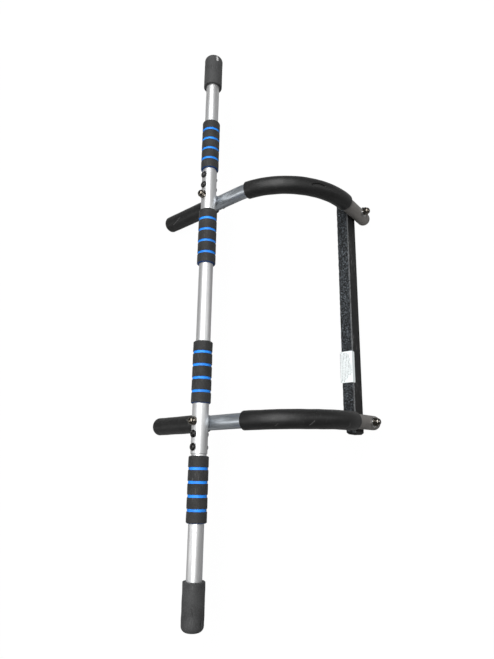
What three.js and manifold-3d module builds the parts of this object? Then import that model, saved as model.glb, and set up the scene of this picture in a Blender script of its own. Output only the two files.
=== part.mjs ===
// Door-frame pull up bar, in millimetres, +Z up, lying on its handle tips and arm ends.
//
// A long round bar runs along Y. Two bent arms are bolted under it, one on each side, and a flat
// crossbar is bolted inside their far ends. Left is +Y, right is -Y.
// Everything is drawn in the arm frame: X along the straight part of the arms towards the bend,
// Z along the bolts that hold the arms, origin on the long bar's axis. One group then tips the
// whole frame over until it rests on the floor.
import * as THREE from "three";
import { mergeVertices } from "three/addons/utils/BufferGeometryUtils.js";
import Module from "manifold-3d";

// ---- Clearances ----
const GAP = 0.3; // between pieces that touch or fit in one another
const HOLE_SLACK = 0.3; // around a bolt's shank

// ---- Long bar ----
const ARM_SPACING = 411; // between the two arms' middles
const BAR_DIAMETER = 25; // middle of the centre tube, and the extension tubes
const BAR_WALL = 1.2;
const SLEEVE_WALL = 0.9; // of the widened ends of the centre tube
const SWAGE_LENGTH = 12; // where the centre tube widens
const SWAGE_TO_ARM = 46; // from the widened part's start to the arm
const ARM_TO_FIRST_PIN = 20.5; // from the arm bolt to the first extension bolt
const PIN_PITCH = 20.8; // between the two extension bolts
const SLEEVE_END_MARGIN = 10.7; // from the last extension bolt to the sleeve's rim
const EXTENSION_BARE = 83; // bare tube between the outer grip and the end cap
const EXTENSION_OVERLAP = 43; // of the extension tube inside the sleeve, past the arm bolt

// ---- Foam on the long bar ----
const GRIP_WALL = 4; // foam thickness over the plain tube
const INNER_GRIP_LENGTH = 105.4;
const OUTER_GRIP_LENGTH = 102.3;
const GRIP_TO_ARM = 29; // from the inner grip's end to the arm's middle
const SLEEVE_TO_GRIP = 3.2; // from the sleeve's rim to the outer grip
const GRIP_BANDS = 4; // grooves that show the inner foam
const BAND_WIDTH = 4.3;
const BAND_DEPTH = 0.7;
const BAND_MARGIN = 19.7; // from a grip's end to its first groove's middle
const GRIP_CHAMFER = 1.6;
const CAP_LENGTH = 69;
const CAP_WALL = 5;
const CAP_FLOOR = 7;
const CAP_ROUNDING = 9;

// ---- Arms ----
const ARM_DIAMETER = 25;
const ARM_WALL = 1.2;
const HANDLE_LENGTH = 144.5; // from the arm bolt to the handle foam's tip
const ARM_TO_BEND = 51.8; // straight tube from the arm bolt to the bend
const BEND_RADIUS = 134;
const BEND_ANGLE = THREE.MathUtils.degToRad(94.2);
const ARM_END_LENGTH = 75.7; // from the bend to the middle of the round end
const ARM_LEAN = THREE.MathUtils.degToRad(2); // each arm leans in, about its handle's middle line
const ARM_FOAM_WALL = 3.1;
const HANDLE_FOAM_TO_BOLT = 14; // bare tube between the handle foam and the arm bolt
const HANDLE_FOAM_FLOOR = 6;
const HANDLE_FOAM_ROUNDING = 11;
const BEND_FOAM_START = 19.7; // arc length from the bend's start to the long foam
const BEND_FOAM_TO_PAD = 28.7; // from the crossbar's pad to the long foam's end

// ---- Plugs in the ends of the round tubes, under the foam ----
const PLUG_RIM = 2;
const PLUG_TONGUE = 14;

// ---- Saddle between the long bar and an arm ----
const SADDLE_WALL = 0.8; // at the bolt, where bar and arm come closest
const SADDLE_LENGTH = 19; // along the arm
const SADDLE_WIDTH = 23; // along the bar
const SADDLE_WRAP = 4.5; // how far the saddle reaches round each tube

// ---- Crossbar ----
const CROSSBAR_WIDTH = 30; // along the arms' ends
const CROSSBAR_DEPTH = 20; // across them
const CROSSBAR_WALL = 1.5;
const CROSSBAR_CORNER = 2.5;
const CROSSBAR_OVERHANG = 20; // beyond each arm's middle
const CROSSBAR_TO_TIP = 10; // from the middle of an arm's round end
const CROSSBAR_PLUG_RIM = 5; // thickness of the end plugs' visible rims
const CROSSBAR_PLUG_SLOPE = 3; // the rim's edges are sloped off by this much
const CROSSBAR_PLUG_TONGUE = 9;
const PAD_THICKNESS = 6.5;
const PAD_SEAM = 60; // where the two pad strips meet, from the middle
const PAD_SEAM_SLANT = 4; // along the bar, from one edge of the pad to the other
const PAD_END_CUT = 8; // cut-off corner at the right end
const PAD_END_MARGIN = 2;
const LABEL_LENGTH = 58;
const LABEL_MIDDLE = -102.5;
const LABEL_THICKNESS = 0.4;
const LABEL_OVERHANG = 3.2; // beyond the pad's back edge
const LABEL_FOLD = 9.5; // down the pad's front edge and onto the crossbar

// ---- Fasteners ----
const M8 = { shank: 8, flats: 13, nut: 6, head: 5.3, flange: 14.6, flangeHeight: 1.6 };
const LOW_M8 = { shank: 8, head: 2, headDiameter: 13, socket: 5, socketDepth: 1.2 };
const M6 = { shank: 6, flats: 9, nut: 2.4, head: 3.6, headDiameter: 12.6, socket: 4, socketDepth: 2 };
const DOME_HEIGHT = 5; // of an acorn nut above its hexagon
const DOME_INSET = 0.4; // the dome is a little narrower than the hexagon's flats
const FACE_FLAT = 0.5; // flat or upright edge left where domes and button heads round over
const THREAD_IN_DOME = 2; // how far a shank's end goes past the hexagon
const WASHER_DIAMETER = 18;
const WASHER_THICKNESS = 1.5;

// ---- Facets ----
const BAR_SIDES = 16;
const ARM_SIDES = 16;
const HOLE_SIDES = 8;
const BEND_STEPS = 12;

// ---- Worked out from the sizes above ----
const barRadius = BAR_DIAMETER / 2;
const sleeveBore = barRadius + GAP;
const sleeveRadius = sleeveBore + SLEEVE_WALL;
const armY = ARM_SPACING / 2;
const pinYs = [armY + ARM_TO_FIRST_PIN, armY + ARM_TO_FIRST_PIN + PIN_PITCH];
const sleeveStart = armY - SWAGE_TO_ARM;
const sleeveEnd = pinYs[1] + SLEEVE_END_MARGIN;
const innerGripEnd = armY - GRIP_TO_ARM;
const outerGripStart = sleeveEnd + SLEEVE_TO_GRIP;
const capStart = outerGripStart + OUTER_GRIP_LENGTH + EXTENSION_BARE;
const barEnd = capStart + CAP_LENGTH;
const armRadius = ARM_DIAMETER / 2;
const armFoamRadius = armRadius + ARM_FOAM_WALL;
const armDrop = sleeveRadius + GAP + SADDLE_WALL + GAP + armRadius; // from the bar's axis to the arm's
const crossbarBoltBack = CROSSBAR_TO_TIP + CROSSBAR_WIDTH / 2; // from the arm's tip
const padFar = CROSSBAR_TO_TIP + CROSSBAR_WIDTH + GAP + PAD_THICKNESS;
const SIDES = [
  ["left", 1],
  ["right", -1],
];

// ---- Materials, one function each ----
const finish = (color, roughness, metalness) => () =>
  new THREE.MeshStandardMaterial({ color, roughness, metalness });
const silverSteel = finish(0xc9ccce, 0.32, 0.85);
const greySteel = finish(0x8d9297, 0.42, 0.6);
const blackSteel = finish(0x26282a, 0.5, 0.3);
const blackFastener = finish(0x17181a, 0.3, 0.7);
const brightZinc = finish(0xd9dcde, 0.25, 0.9);
const greyPlastic = finish(0xb4b7b9, 0.5, 0);
const blackPlastic = finish(0x1b1c1d, 0.55, 0);
const gripFoam = finish(0x2b2d2d, 0.9, 0);
const darkFoam = finish(0x1f2122, 0.9, 0);
const capFoam = finish(0x35393a, 0.85, 0);
const padFoam = finish(0x2c343b, 0.95, 0);
const labelPaper = finish(0xf2f4f4, 0.6, 0);

// ---- Solids: joining and cutting ----
const wasm = await Module();
wasm.setup();

/** A closed three.js geometry as a solid that can be cut. */
function toSolid(geometry) {
  const bare = geometry.clone();
  bare.deleteAttribute("normal");
  bare.deleteAttribute("uv");
  const merged = mergeVertices(bare, 1e-4);
  const triVerts = new Uint32Array(merged.index.array);
  return new wasm.Manifold(
    new wasm.Mesh({ numProp: 3, vertProperties: merged.attributes.position.array, triVerts }),
  );
}

function toGeometry(solid) {
  const { vertProperties, triVerts } = solid.getMesh();
  const geometry = new THREE.BufferGeometry();
  geometry.setAttribute("position", new THREE.BufferAttribute(vertProperties, 3));
  geometry.setIndex(new THREE.BufferAttribute(triVerts, 1));
  geometry.computeVertexNormals();
  return geometry;
}

const cut = (body, tools) =>
  toGeometry(tools.reduce((solid, tool) => solid.subtract(toSolid(tool)), toSolid(body)));
const join = (bodies) =>
  toGeometry(bodies.map(toSolid).reduce((solid, more) => solid.add(more)));

function mesh(name, geometry, material) {
  const made = new THREE.Mesh(geometry, material());
  made.name = name;
  return made;
}

// ---- Basic shapes ----

/** A turned solid about Y. The profile is [radius, y] pairs that run up the outside. */
function turned(profile, sides) {
  const points = profile.map(([radius, y]) => new THREE.Vector2(radius, y));
  return new THREE.LatheGeometry(points, sides);
}

/** A quarter circle of profile points, from the side of a round end to its face. */
function rounded(radius, y, size, steps = 5) {
  return Array.from({ length: steps + 1 }, (_, i) => {
    const angle = (i / steps) * (Math.PI / 2);
    return [radius - size + size * Math.cos(angle), y - size + size * Math.sin(angle)];
  });
}

/** A round rod along Z from one height to another. */
function rod(radius, from, to, sides = HOLE_SIDES) {
  return new THREE.CylinderGeometry(radius, radius, to - from, sides)
    .rotateX(Math.PI / 2)
    .translate(0, 0, (from + to) / 2);
}

/** A hexagonal bar along Z. */
const hexagon = (flats, from, to) => rod(flats / Math.sqrt(3), from, to, 6);

/** A box given by its lowest and highest corners. */
function block(low, high) {
  return new THREE.BoxGeometry(...high.map((h, i) => h - low[i])).translate(
    ...high.map((h, i) => (h + low[i]) / 2),
  );
}

/** A through hole along Z at a place on the long bar. */
const boltHole = (shank, y) =>
  rod(shank / 2 + HOLE_SLACK, -sleeveRadius * 2, sleeveRadius * 2).translate(0, y, 0);

// ---- Long bar ----

/** The centre tube's wall is plain in the middle and wider at both ends, for the extensions. */
function centreTube() {
  const upTheWall = (plain, wide) => [
    [wide, -sleeveEnd],
    [wide, -sleeveStart],
    [plain, -sleeveStart + SWAGE_LENGTH],
    [plain, sleeveStart - SWAGE_LENGTH],
    [wide, sleeveStart],
    [wide, sleeveEnd],
  ];
  const outside = upTheWall(barRadius, sleeveRadius);
  const inside = upTheWall(barRadius - BAR_WALL, sleeveBore).reverse();
  const tube = turned([...outside, ...inside, outside[0]], BAR_SIDES);
  const holes = SIDES.flatMap(([, side]) => [
    boltHole(M8.shank, side * armY),
    ...pinYs.map((y) => boltHole(M6.shank, side * y)),
  ]);
  return mesh("centre_tube", cut(tube, holes), silverSteel);
}

const extensionStart = armY - EXTENSION_OVERLAP;
const extensionEnd = barEnd - CAP_FLOOR - GAP - PLUG_RIM - GAP;

function extensionTube(name, side) {
  const inner = barRadius - BAR_WALL;
  const wall = [
    [barRadius, extensionStart],
    [barRadius, extensionEnd],
    [inner, extensionEnd],
    [inner, extensionStart],
    [barRadius, extensionStart],
  ];
  const holes = [boltHole(M8.shank, armY), ...pinYs.map((y) => boltHole(M6.shank, y))];
  const placed = mesh(`extension_tube_${name}`, cut(turned(wall, BAR_SIDES), holes), silverSteel);
  placed.rotation.z = side > 0 ? 0 : Math.PI;
  return placed;
}

/** A round plug with a rim, closing a tube whose end is at y = 0 and whose inside is below it. */
function tubePlug(name, radius, wall, sides) {
  const profile = [
    [0, -PLUG_TONGUE],
    [radius - wall - GAP, -PLUG_TONGUE],
    [radius - wall - GAP, GAP],
    [radius, GAP],
    [radius, GAP + PLUG_RIM],
    [0, GAP + PLUG_RIM],
  ];
  return mesh(name, turned(profile, sides), blackPlastic);
}

/** A foam grip from y = 0 up, with grooves round it. The bore is [radius, y] pairs going down. */
function grip(name, length, bore) {
  const outer = barRadius + GRIP_WALL;
  const pitch = (length - 2 * BAND_MARGIN) / (GRIP_BANDS - 1);
  const grooves = Array.from({ length: GRIP_BANDS }, (_, i) => {
    const middle = BAND_MARGIN + i * pitch;
    const [low, high] = [middle - BAND_WIDTH / 2, middle + BAND_WIDTH / 2];
    return [[outer, low], [outer - BAND_DEPTH, low], [outer - BAND_DEPTH, high], [outer, high]];
  });
  const outside = [
    [outer - GRIP_CHAMFER, 0],
    [outer, GRIP_CHAMFER],
    ...grooves.flat(),
    [outer, length - GRIP_CHAMFER],
    [outer - GRIP_CHAMFER, length],
  ];
  return mesh(name, turned([...outside, ...bore, outside[0]], BAR_SIDES), gripFoam);
}

/** The inner grips lie over the widening of the centre tube, so their bore follows it. */
function innerGrip(name, side) {
  const start = innerGripEnd - INNER_GRIP_LENGTH;
  const bore = [
    [sleeveRadius + GAP, INNER_GRIP_LENGTH],
    [sleeveRadius + GAP, sleeveStart - start],
    [barRadius + GAP, sleeveStart - SWAGE_LENGTH - start],
    [barRadius + GAP, 0],
  ];
  const placed = grip(`inner_grip_${name}`, INNER_GRIP_LENGTH, bore);
  placed.position.y = side * start;
  placed.rotation.z = side > 0 ? 0 : Math.PI;
  return placed;
}

function outerGrip(name, side) {
  const bore = [
    [barRadius + GAP, OUTER_GRIP_LENGTH],
    [barRadius + GAP, 0],
  ];
  const placed = grip(`outer_grip_${name}`, OUTER_GRIP_LENGTH, bore);
  placed.position.y = side * outerGripStart;
  placed.rotation.z = side > 0 ? 0 : Math.PI;
  return placed;
}

/** A closed foam sleeve from its mouth at y = 0 to its round end. */
function closedSleeve(name, length, outer, bore, floor, rounding, sides, material) {
  const profile = [
    [bore, 0],
    [outer, 0],
    ...rounded(outer, length, rounding),
    [0, length],
    [0, length - floor],
    [bore, length - floor],
    [bore, 0],
  ];
  return mesh(name, turned(profile, sides), material);
}

function endCap(name, side) {
  const bore = barRadius + GAP;
  const placed = closedSleeve(
    `end_cap_${name}`, CAP_LENGTH, bore - GAP + CAP_WALL, bore, CAP_FLOOR, CAP_ROUNDING,
    BAR_SIDES, capFoam,
  );
  placed.position.y = side * capStart;
  placed.rotation.z = side > 0 ? 0 : Math.PI;
  return placed;
}

function extensionPlug(name, side) {
  const placed = tubePlug(`extension_plug_${name}`, barRadius, BAR_WALL, BAR_SIDES);
  placed.position.y = side * extensionEnd;
  placed.rotation.z = side > 0 ? 0 : Math.PI;
  return placed;
}

// ---- Fasteners: each stands on z = 0, its washer face, and points up ----

/** An acorn nut: flange, hexagon and dome, with a blind hole for the shank. */
function acornNut(name) {
  const { shank, flats, nut, flange, flangeHeight } = M8;
  const top = nut + DOME_HEIGHT;
  const domeRadius = flats / 2 - DOME_INSET;
  const root = nut - 1; // the dome starts inside the hexagon
  const domeProfile = [
    [0, root],
    [domeRadius, root],
    ...rounded(domeRadius, top, domeRadius - FACE_FLAT),
    [0, top],
  ];
  const body = join([
    rod(flange / 2, 0, flangeHeight),
    hexagon(flats, flangeHeight / 2, nut),
    turned(domeProfile, HOLE_SIDES).rotateX(Math.PI / 2),
  ]);
  const thread = rod(shank / 2 + HOLE_SLACK, -1, nut + THREAD_IN_DOME + GAP);
  return mesh(name, cut(body, [thread]), blackFastener);
}

/** A flanged hexagon bolt, head up, whose shank goes down. */
function flangedBolt(name, reach) {
  const { shank, flats, head, flange, flangeHeight } = M8;
  const body = join([
    rod(shank / 2, -reach, flangeHeight / 2),
    rod(flange / 2, 0, flangeHeight),
    hexagon(flats, flangeHeight / 2, head),
  ]);
  return mesh(name, body, blackFastener);
}

/** A round-head bolt with a hexagon socket, head up, whose shank goes down. */
function socketBolt(name, size, reach) {
  const { shank, head, headDiameter, socket, socketDepth } = size;
  const profile = [
    [0, -reach],
    [shank / 2, -reach],
    [shank / 2, 0],
    [headDiameter / 2, 0],
    ...rounded(headDiameter / 2, head, head - FACE_FLAT, 3),
    [0, head],
  ];
  const body = turned(profile, HOLE_SIDES).rotateX(Math.PI / 2);
  return mesh(name, cut(body, [hexagon(socket, head - socketDepth, head + 1)]), blackFastener);
}

/** A thin nut, so that it hardly stands out under the bar. */
function thinNut(name) {
  const { shank, flats, nut } = M6;
  const thread = rod(shank / 2 + HOLE_SLACK, -1, nut + 1);
  return mesh(name, cut(hexagon(flats, 0, nut), [thread]), blackFastener);
}

function washer(name) {
  const disc = rod(WASHER_DIAMETER / 2, 0, WASHER_THICKNESS, BAR_SIDES);
  const bore = rod(M8.shank / 2 + HOLE_SLACK, -1, WASHER_THICKNESS + 1);
  return mesh(name, cut(disc, [bore]), brightZinc);
}

/** Puts a fastener's washer face at a place, pointing along Z (up) or against it. */
function seated(piece, x, y, z, up) {
  piece.position.set(x, y, z);
  piece.rotation.x = up ? 0 : Math.PI;
  return piece;
}

// ---- Arms, drawn about the straight part's middle line, with the arm bolt at the origin ----
const bendLength = BEND_RADIUS * BEND_ANGLE;
const armLength = ARM_TO_BEND + bendLength + ARM_END_LENGTH;

/** A point and direction on the middle line, by its length s from the arm bolt. */
function armAt(s) {
  const bent = THREE.MathUtils.clamp((s - ARM_TO_BEND) / BEND_RADIUS, 0, BEND_ANGLE);
  const tangent = new THREE.Vector3(Math.cos(bent), 0, -Math.sin(bent));
  const point = new THREE.Vector3(
    ARM_TO_BEND + BEND_RADIUS * Math.sin(bent), 0, -BEND_RADIUS * (1 - Math.cos(bent)));
  const past = s - (ARM_TO_BEND + BEND_RADIUS * bent);
  return { point: point.addScaledVector(tangent, past), tangent };
}

/** Turns a place or direction on an upright arm to where the lean puts it. */
const leaned = (vector, side) =>
  vector.clone().applyAxisAngle(new THREE.Vector3(1, 0, 0), -side * ARM_LEAN);

/** A stretch of the middle line, with a step at each end, at the bend's ends and along the bend. */
class ArmStretch extends THREE.Curve {
  constructor(from, to) {
    super();
    const bend = Array.from({ length: BEND_STEPS + 1 }, (_, i) =>
      ARM_TO_BEND + (i / BEND_STEPS) * bendLength);
    this.stations = [from, ...bend.filter((s) => s > from + 1 && s < to - 1), to];
  }
  get steps() {
    return this.stations.length - 1;
  }
  at(u) {
    const index = Math.min(Math.floor(u * this.steps + 1e-9), this.steps - 1);
    const share = u * this.steps - index;
    return armAt(this.stations[index] * (1 - share) + this.stations[index + 1] * share);
  }
  getPoint(u) {
    return this.at(u).point;
  }
  getPointAt(u) {
    return this.at(u).point;
  }
  getTangentAt(u) {
    return this.at(u).tangent;
  }
}

/** A round section swept along a stretch of the arm, solid or with a bore. */
function swept(radius, bore, from, to) {
  const circle = (r) => Array.from({ length: ARM_SIDES }, (_, i) => {
    const angle = (i / ARM_SIDES) * 2 * Math.PI;
    return new THREE.Vector2(r * Math.cos(angle), r * Math.sin(angle));
  });
  const section = new THREE.Shape(circle(radius));
  if (bore) section.holes.push(new THREE.Path(circle(bore)));
  const path = new ArmStretch(from, to);
  const settings = { steps: path.steps, extrudePath: path, bevelEnabled: false };
  return new THREE.ExtrudeGeometry(section, settings);
}

/** A ball at the arm's tip, turned so that its facets line up with the tube's. */
function tipBall(radius) {
  const { point } = armAt(armLength);
  return new THREE.SphereGeometry(radius, ARM_SIDES, ARM_SIDES / 2)
    .rotateX(Math.PI / 2)
    .rotateY(BEND_ANGLE + Math.PI / 2)
    .translate(...point);
}

// The middle of the arms' round ends, as X and Z in the whole frame.
const leanedTip = leaned(armAt(armLength).point, 1);
const armTip = new THREE.Vector2(leanedTip.x, leanedTip.z - armDrop);

const handleEnd = -HANDLE_LENGTH + HANDLE_FOAM_FLOOR + 2 * GAP + PLUG_RIM;

/** A bolt's hole through a leaning arm, square to the bar and the crossbar, which don't lean. */
function armHole(s, side) {
  const { point, tangent } = armAt(s);
  return rod(M8.shank / 2 + HOLE_SLACK, -2 * armRadius, 2 * armRadius)
    .rotateY(Math.atan2(-tangent.z, tangent.x))
    .rotateX(side * ARM_LEAN)
    .translate(...point);
}

/** The arm's tube: open at the handle, spun closed at its tip, with a pair of holes at each bolt. */
function armTube(name, side) {
  const shape = (radius, from) =>
    toSolid(swept(radius, 0, from, armLength)).add(toSolid(tipBall(radius)));
  const inner = armRadius - ARM_WALL;
  const tube = toGeometry(shape(armRadius, handleEnd).subtract(shape(inner, handleEnd - 1)));
  const holes = [armHole(0, side), armHole(armLength - crossbarBoltBack, side)];
  return mesh(`arm_tube_${name}`, cut(tube, holes), greySteel);
}

/** The long foam over the bend, stopping short of the crossbar's pad. */
function bendFoam(name) {
  const to = armLength - padFar - BEND_FOAM_TO_PAD;
  const sleeve = swept(armFoamRadius, armRadius + GAP, ARM_TO_BEND + BEND_FOAM_START, to);
  return mesh(`arch_foam_${name}`, sleeve, darkFoam);
}

/** The closed foam on the handle, its mouth towards the arm bolt. */
function handleFoam(name) {
  const length = HANDLE_LENGTH - HANDLE_FOAM_TO_BOLT;
  const placed = closedSleeve(
    `handle_foam_${name}`, length, armFoamRadius, armRadius + GAP, HANDLE_FOAM_FLOOR,
    HANDLE_FOAM_ROUNDING, ARM_SIDES, darkFoam,
  );
  placed.rotation.z = Math.PI / 2;
  placed.position.x = -HANDLE_FOAM_TO_BOLT;
  return placed;
}

function armPlug(name) {
  const placed = tubePlug(`arm_plug_${name}`, armRadius, ARM_WALL, ARM_SIDES);
  placed.rotation.z = Math.PI / 2;
  placed.position.x = handleEnd;
  return placed;
}

/** The spacer between bar and arm, hollowed above for the sleeve and below for the arm's tube. */
function saddle(name) {
  const barSpace = sleeveRadius + GAP;
  const armSpace = armRadius + GAP;
  const alongBar = new THREE.CylinderGeometry(barSpace, barSpace, 2 * SADDLE_WIDTH, BAR_SIDES);
  const alongArm = new THREE.CylinderGeometry(armSpace, armSpace, 2 * SADDLE_LENGTH, ARM_SIDES)
    .rotateZ(Math.PI / 2)
    .translate(0, 0, -armDrop);
  const [halfLength, halfWidth] = [SADDLE_LENGTH / 2, SADDLE_WIDTH / 2];
  const middle = (-sleeveRadius - armDrop + armRadius) / 2;
  const body = block(
    [-halfLength, -halfWidth, middle - SADDLE_WRAP],
    [halfLength, halfWidth, middle + SADDLE_WRAP],
  );
  const hollows = [alongBar, alongArm, boltHole(M8.shank, 0)];
  return mesh(`saddle_${name}`, cut(body, hollows), greyPlastic);
}

/** Everything that sits in one arm's plane. */
function arm(name, side) {
  const group = new THREE.Group();
  group.position.y = side * armY;
  const leaning = new THREE.Group();
  leaning.position.z = -armDrop;
  leaning.rotation.x = -side * ARM_LEAN;
  leaning.add(armTube(name, side), armPlug(name), handleFoam(name), bendFoam(name));
  const [nutFace, headFace] = [sleeveRadius + GAP, -armDrop - armRadius - GAP];
  const boltLength = nutFace - headFace + M8.nut + THREAD_IN_DOME;
  group.add(
    leaning,
    saddle(name),
    seated(socketBolt(`arm_bolt_${name}`, LOW_M8, boltLength), 0, 0, headFace, false),
    seated(acornNut(`arm_nut_${name}`), 0, 0, nutFace, true),
  );
  return group;
}

/** The two bolts and nuts that pin an extension tube in its sleeve, the bolts' ends level with the nuts. */
function extensionFasteners(name, side) {
  const face = sleeveRadius + GAP;
  const boltLength = 2 * face + M6.nut;
  return pinYs.flatMap((y, i) => [
    seated(socketBolt(`extension_bolt_${name}_${i + 1}`, M6, boltLength), 0, side * y, face, true),
    seated(thinNut(`extension_nut_${name}_${i + 1}`), 0, side * y, -face, false),
  ]);
}

// ---- Crossbar, drawn at the arms' tips: X outwards along its bolts, Z back up the arms ----
const crossbarFace = -armRadius - GAP; // the face that the arms' tubes are bolted to
const crossbarBack = crossbarFace - CROSSBAR_DEPTH;
const crossbarTop = CROSSBAR_TO_TIP + CROSSBAR_WIDTH;
const crossbarBoltY = armY + leaned(armAt(armLength - crossbarBoltBack).point, 1).y;
const crossbarHalf = crossbarBoltY + CROSSBAR_OVERHANG;

/** A rectangle with round corners in the crossbar's section, taken in by an inset. */
function crossbarSection(inset, corner) {
  const [halfX, halfZ] = [CROSSBAR_DEPTH / 2 - inset, CROSSBAR_WIDTH / 2 - inset];
  const outline = new THREE.Path();
  outline.moveTo(halfX, -halfZ + corner);
  outline.absarc(halfX - corner, halfZ - corner, corner, 0, Math.PI / 2);
  outline.absarc(-halfX + corner, halfZ - corner, corner, Math.PI / 2, Math.PI);
  outline.absarc(-halfX + corner, -halfZ + corner, corner, Math.PI, 1.5 * Math.PI);
  outline.absarc(halfX - corner, -halfZ + corner, corner, 1.5 * Math.PI, 2 * Math.PI);
  return outline.getPoints(3);
}

/** The section drawn out along Y between two places. */
function crossbarStretch(outline, hole, from, to) {
  const shape = new THREE.Shape(outline);
  if (hole) shape.holes.push(new THREE.Path(hole));
  return new THREE.ExtrudeGeometry(shape, { depth: to - from, bevelEnabled: false })
    .rotateX(Math.PI / 2)
    .translate((crossbarFace + crossbarBack) / 2, to, CROSSBAR_TO_TIP + CROSSBAR_WIDTH / 2);
}

function crossbarTube() {
  const inner = crossbarSection(CROSSBAR_WALL, CROSSBAR_CORNER - CROSSBAR_WALL);
  const end = crossbarHalf - CROSSBAR_PLUG_RIM - GAP;
  const tube = crossbarStretch(crossbarSection(0, CROSSBAR_CORNER), inner, -end, end);
  const holes = SIDES.map(([, side]) =>
    rod(M8.shank / 2 + HOLE_SLACK, -2 * CROSSBAR_DEPTH, 2 * CROSSBAR_DEPTH)
      .rotateY(Math.PI / 2)
      .translate(crossbarFace, side * crossbarBoltY, crossbarBoltBack));
  return mesh("crossbar_tube", cut(tube, holes), blackSteel);
}

/** A plug in one end of the crossbar: a tongue inside, and a rim whose outer edges slope. */
function crossbarPlug(name, side) {
  const inside = crossbarHalf - CROSSBAR_PLUG_RIM;
  const slopeStart = crossbarHalf - CROSSBAR_PLUG_SLOPE;
  const edge = crossbarSection(0, CROSSBAR_CORNER);
  const face = crossbarSection(CROSSBAR_PLUG_SLOPE, CROSSBAR_CORNER / 2);
  const rim = wasm.Manifold.hull([
    toSolid(crossbarStretch(edge, null, inside, slopeStart)),
    toSolid(crossbarStretch(face, null, slopeStart, crossbarHalf)),
  ]);
  const tongueSection = crossbarSection(CROSSBAR_WALL + GAP, CROSSBAR_CORNER - CROSSBAR_WALL - GAP);
  const tongue = crossbarStretch(tongueSection, null, inside - CROSSBAR_PLUG_TONGUE, inside + 1);
  const shape = rim.add(toSolid(tongue));
  const placed = side > 0 ? shape : shape.mirror([0, 1, 0]);
  return mesh(`crossbar_plug_${name}`, toGeometry(placed), blackPlastic);
}

/** One strip of the pad on the crossbar's narrow face, from its outline as [x, y] pairs. */
function padStrip(name, outline) {
  const shape = new THREE.Shape(outline.map((corner) => new THREE.Vector2(...corner)));
  const strip = new THREE.ExtrudeGeometry(shape, { depth: PAD_THICKNESS, bevelEnabled: false })
    .translate(0, 0, crossbarTop + GAP);
  return mesh(`pad_${name}`, strip, padFoam);
}

/** The two strips meet in a slanted seam, and one corner of the right strip is cut off. */
function padStrips() {
  const end = crossbarHalf - PAD_END_MARGIN;
  const seamAtFace = PAD_SEAM - PAD_SEAM_SLANT / 2;
  const seamAtBack = PAD_SEAM + PAD_SEAM_SLANT / 2;
  const left = [
    [crossbarFace, seamAtFace + GAP / 2],
    [crossbarFace, end],
    [crossbarBack, end],
    [crossbarBack, seamAtBack + GAP / 2],
  ];
  const right = [
    [crossbarFace, -end],
    [crossbarFace, seamAtFace - GAP / 2],
    [crossbarBack, seamAtBack - GAP / 2],
    [crossbarBack, PAD_END_CUT - end],
    [crossbarBack + PAD_END_CUT, -end],
  ];
  return [padStrip("left", left), padStrip("right", right)];
}

/** The paper label: stuck on the pad, past its back edge, and folded down over its front edge. */
function label() {
  const under = crossbarTop + GAP + PAD_THICKNESS + GAP;
  const [from, to] = [LABEL_MIDDLE - LABEL_LENGTH / 2, LABEL_MIDDLE + LABEL_LENGTH / 2];
  const [back, front] = [crossbarBack - LABEL_OVERHANG, crossbarFace + GAP];
  const whole = block(
    [back, from, under - LABEL_FOLD],
    [front + LABEL_THICKNESS, to, under + LABEL_THICKNESS],
  );
  const inside = block([back - 1, from - 1, under - 2 * LABEL_FOLD], [front, to + 1, under]);
  return mesh("label", cut(whole, [inside]), labelPaper);
}

/** A bolt through the crossbar and one arm's tip, with its washer and acorn nut. */
function crossbarFasteners(name, side) {
  const stack = new THREE.Group();
  stack.position.set(0, side * crossbarBoltY, crossbarBoltBack);
  stack.rotation.y = Math.PI / 2; // Z now points outwards
  const nutFace = armRadius + GAP + WASHER_THICKNESS + GAP;
  const boltLength = nutFace - (crossbarBack - GAP) + M8.nut + THREAD_IN_DOME;
  stack.add(
    seated(flangedBolt(`crossbar_bolt_${name}`, boltLength), 0, 0, crossbarBack - GAP, false),
    seated(washer(`washer_${name}`), 0, 0, armRadius + GAP, true),
    seated(acornNut(`crossbar_nut_${name}`), 0, 0, nutFace, true),
  );
  return stack;
}

function crossbar() {
  const group = new THREE.Group();
  const direction = leaned(armAt(armLength).tangent, 1);
  group.position.set(armTip.x, 0, armTip.y);
  group.rotation.y = Math.atan2(-direction.x, -direction.z);
  group.add(
    crossbarTube(),
    ...SIDES.map((side) => crossbarPlug(...side)),
    ...padStrips(),
    label(),
    ...SIDES.map((side) => crossbarFasteners(...side)),
  );
  return group;
}

// ---- The whole bar ----
const frame = new THREE.Group();
frame.add(centreTube(), crossbar());
for (const side of SIDES) {
  frame.add(
    extensionTube(...side),
    extensionPlug(...side),
    innerGrip(...side),
    outerGrip(...side),
    endCap(...side),
    arm(...side),
    ...extensionFasteners(...side),
  );
}

/** The tilt at which the handles' tips and the arms' round ends touch the floor together. */
function restingTilt() {
  const handle = new THREE.Vector2(
    -HANDLE_LENGTH + HANDLE_FOAM_ROUNDING, -armDrop - armFoamRadius + HANDLE_FOAM_ROUNDING);
  const between = armTip.clone().sub(handle);
  return -between.angle() - Math.asin((HANDLE_FOAM_ROUNDING - armRadius) / between.length());
}

// The two touching circles' common tangent becomes the floor, with the origin below the middle.
const part = new THREE.Group();
part.name = "pull_up_bar";
frame.rotation.y = -restingTilt();
part.add(frame);
part.updateMatrixWorld(true);
const bounds = new THREE.Box3().setFromObject(part, true);
frame.position.set(
  -(bounds.min.x + bounds.max.x) / 2,
  -(bounds.min.y + bounds.max.y) / 2,
  -bounds.min.z,
);

export default part;
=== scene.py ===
# %% [markdown]
# # A door-frame pull up bar, dressed in Blender
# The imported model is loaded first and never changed. It says where every tube, bolt and foam
# sleeve lies. Each cell after this one makes one kind of piece or one finish around it.

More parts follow.
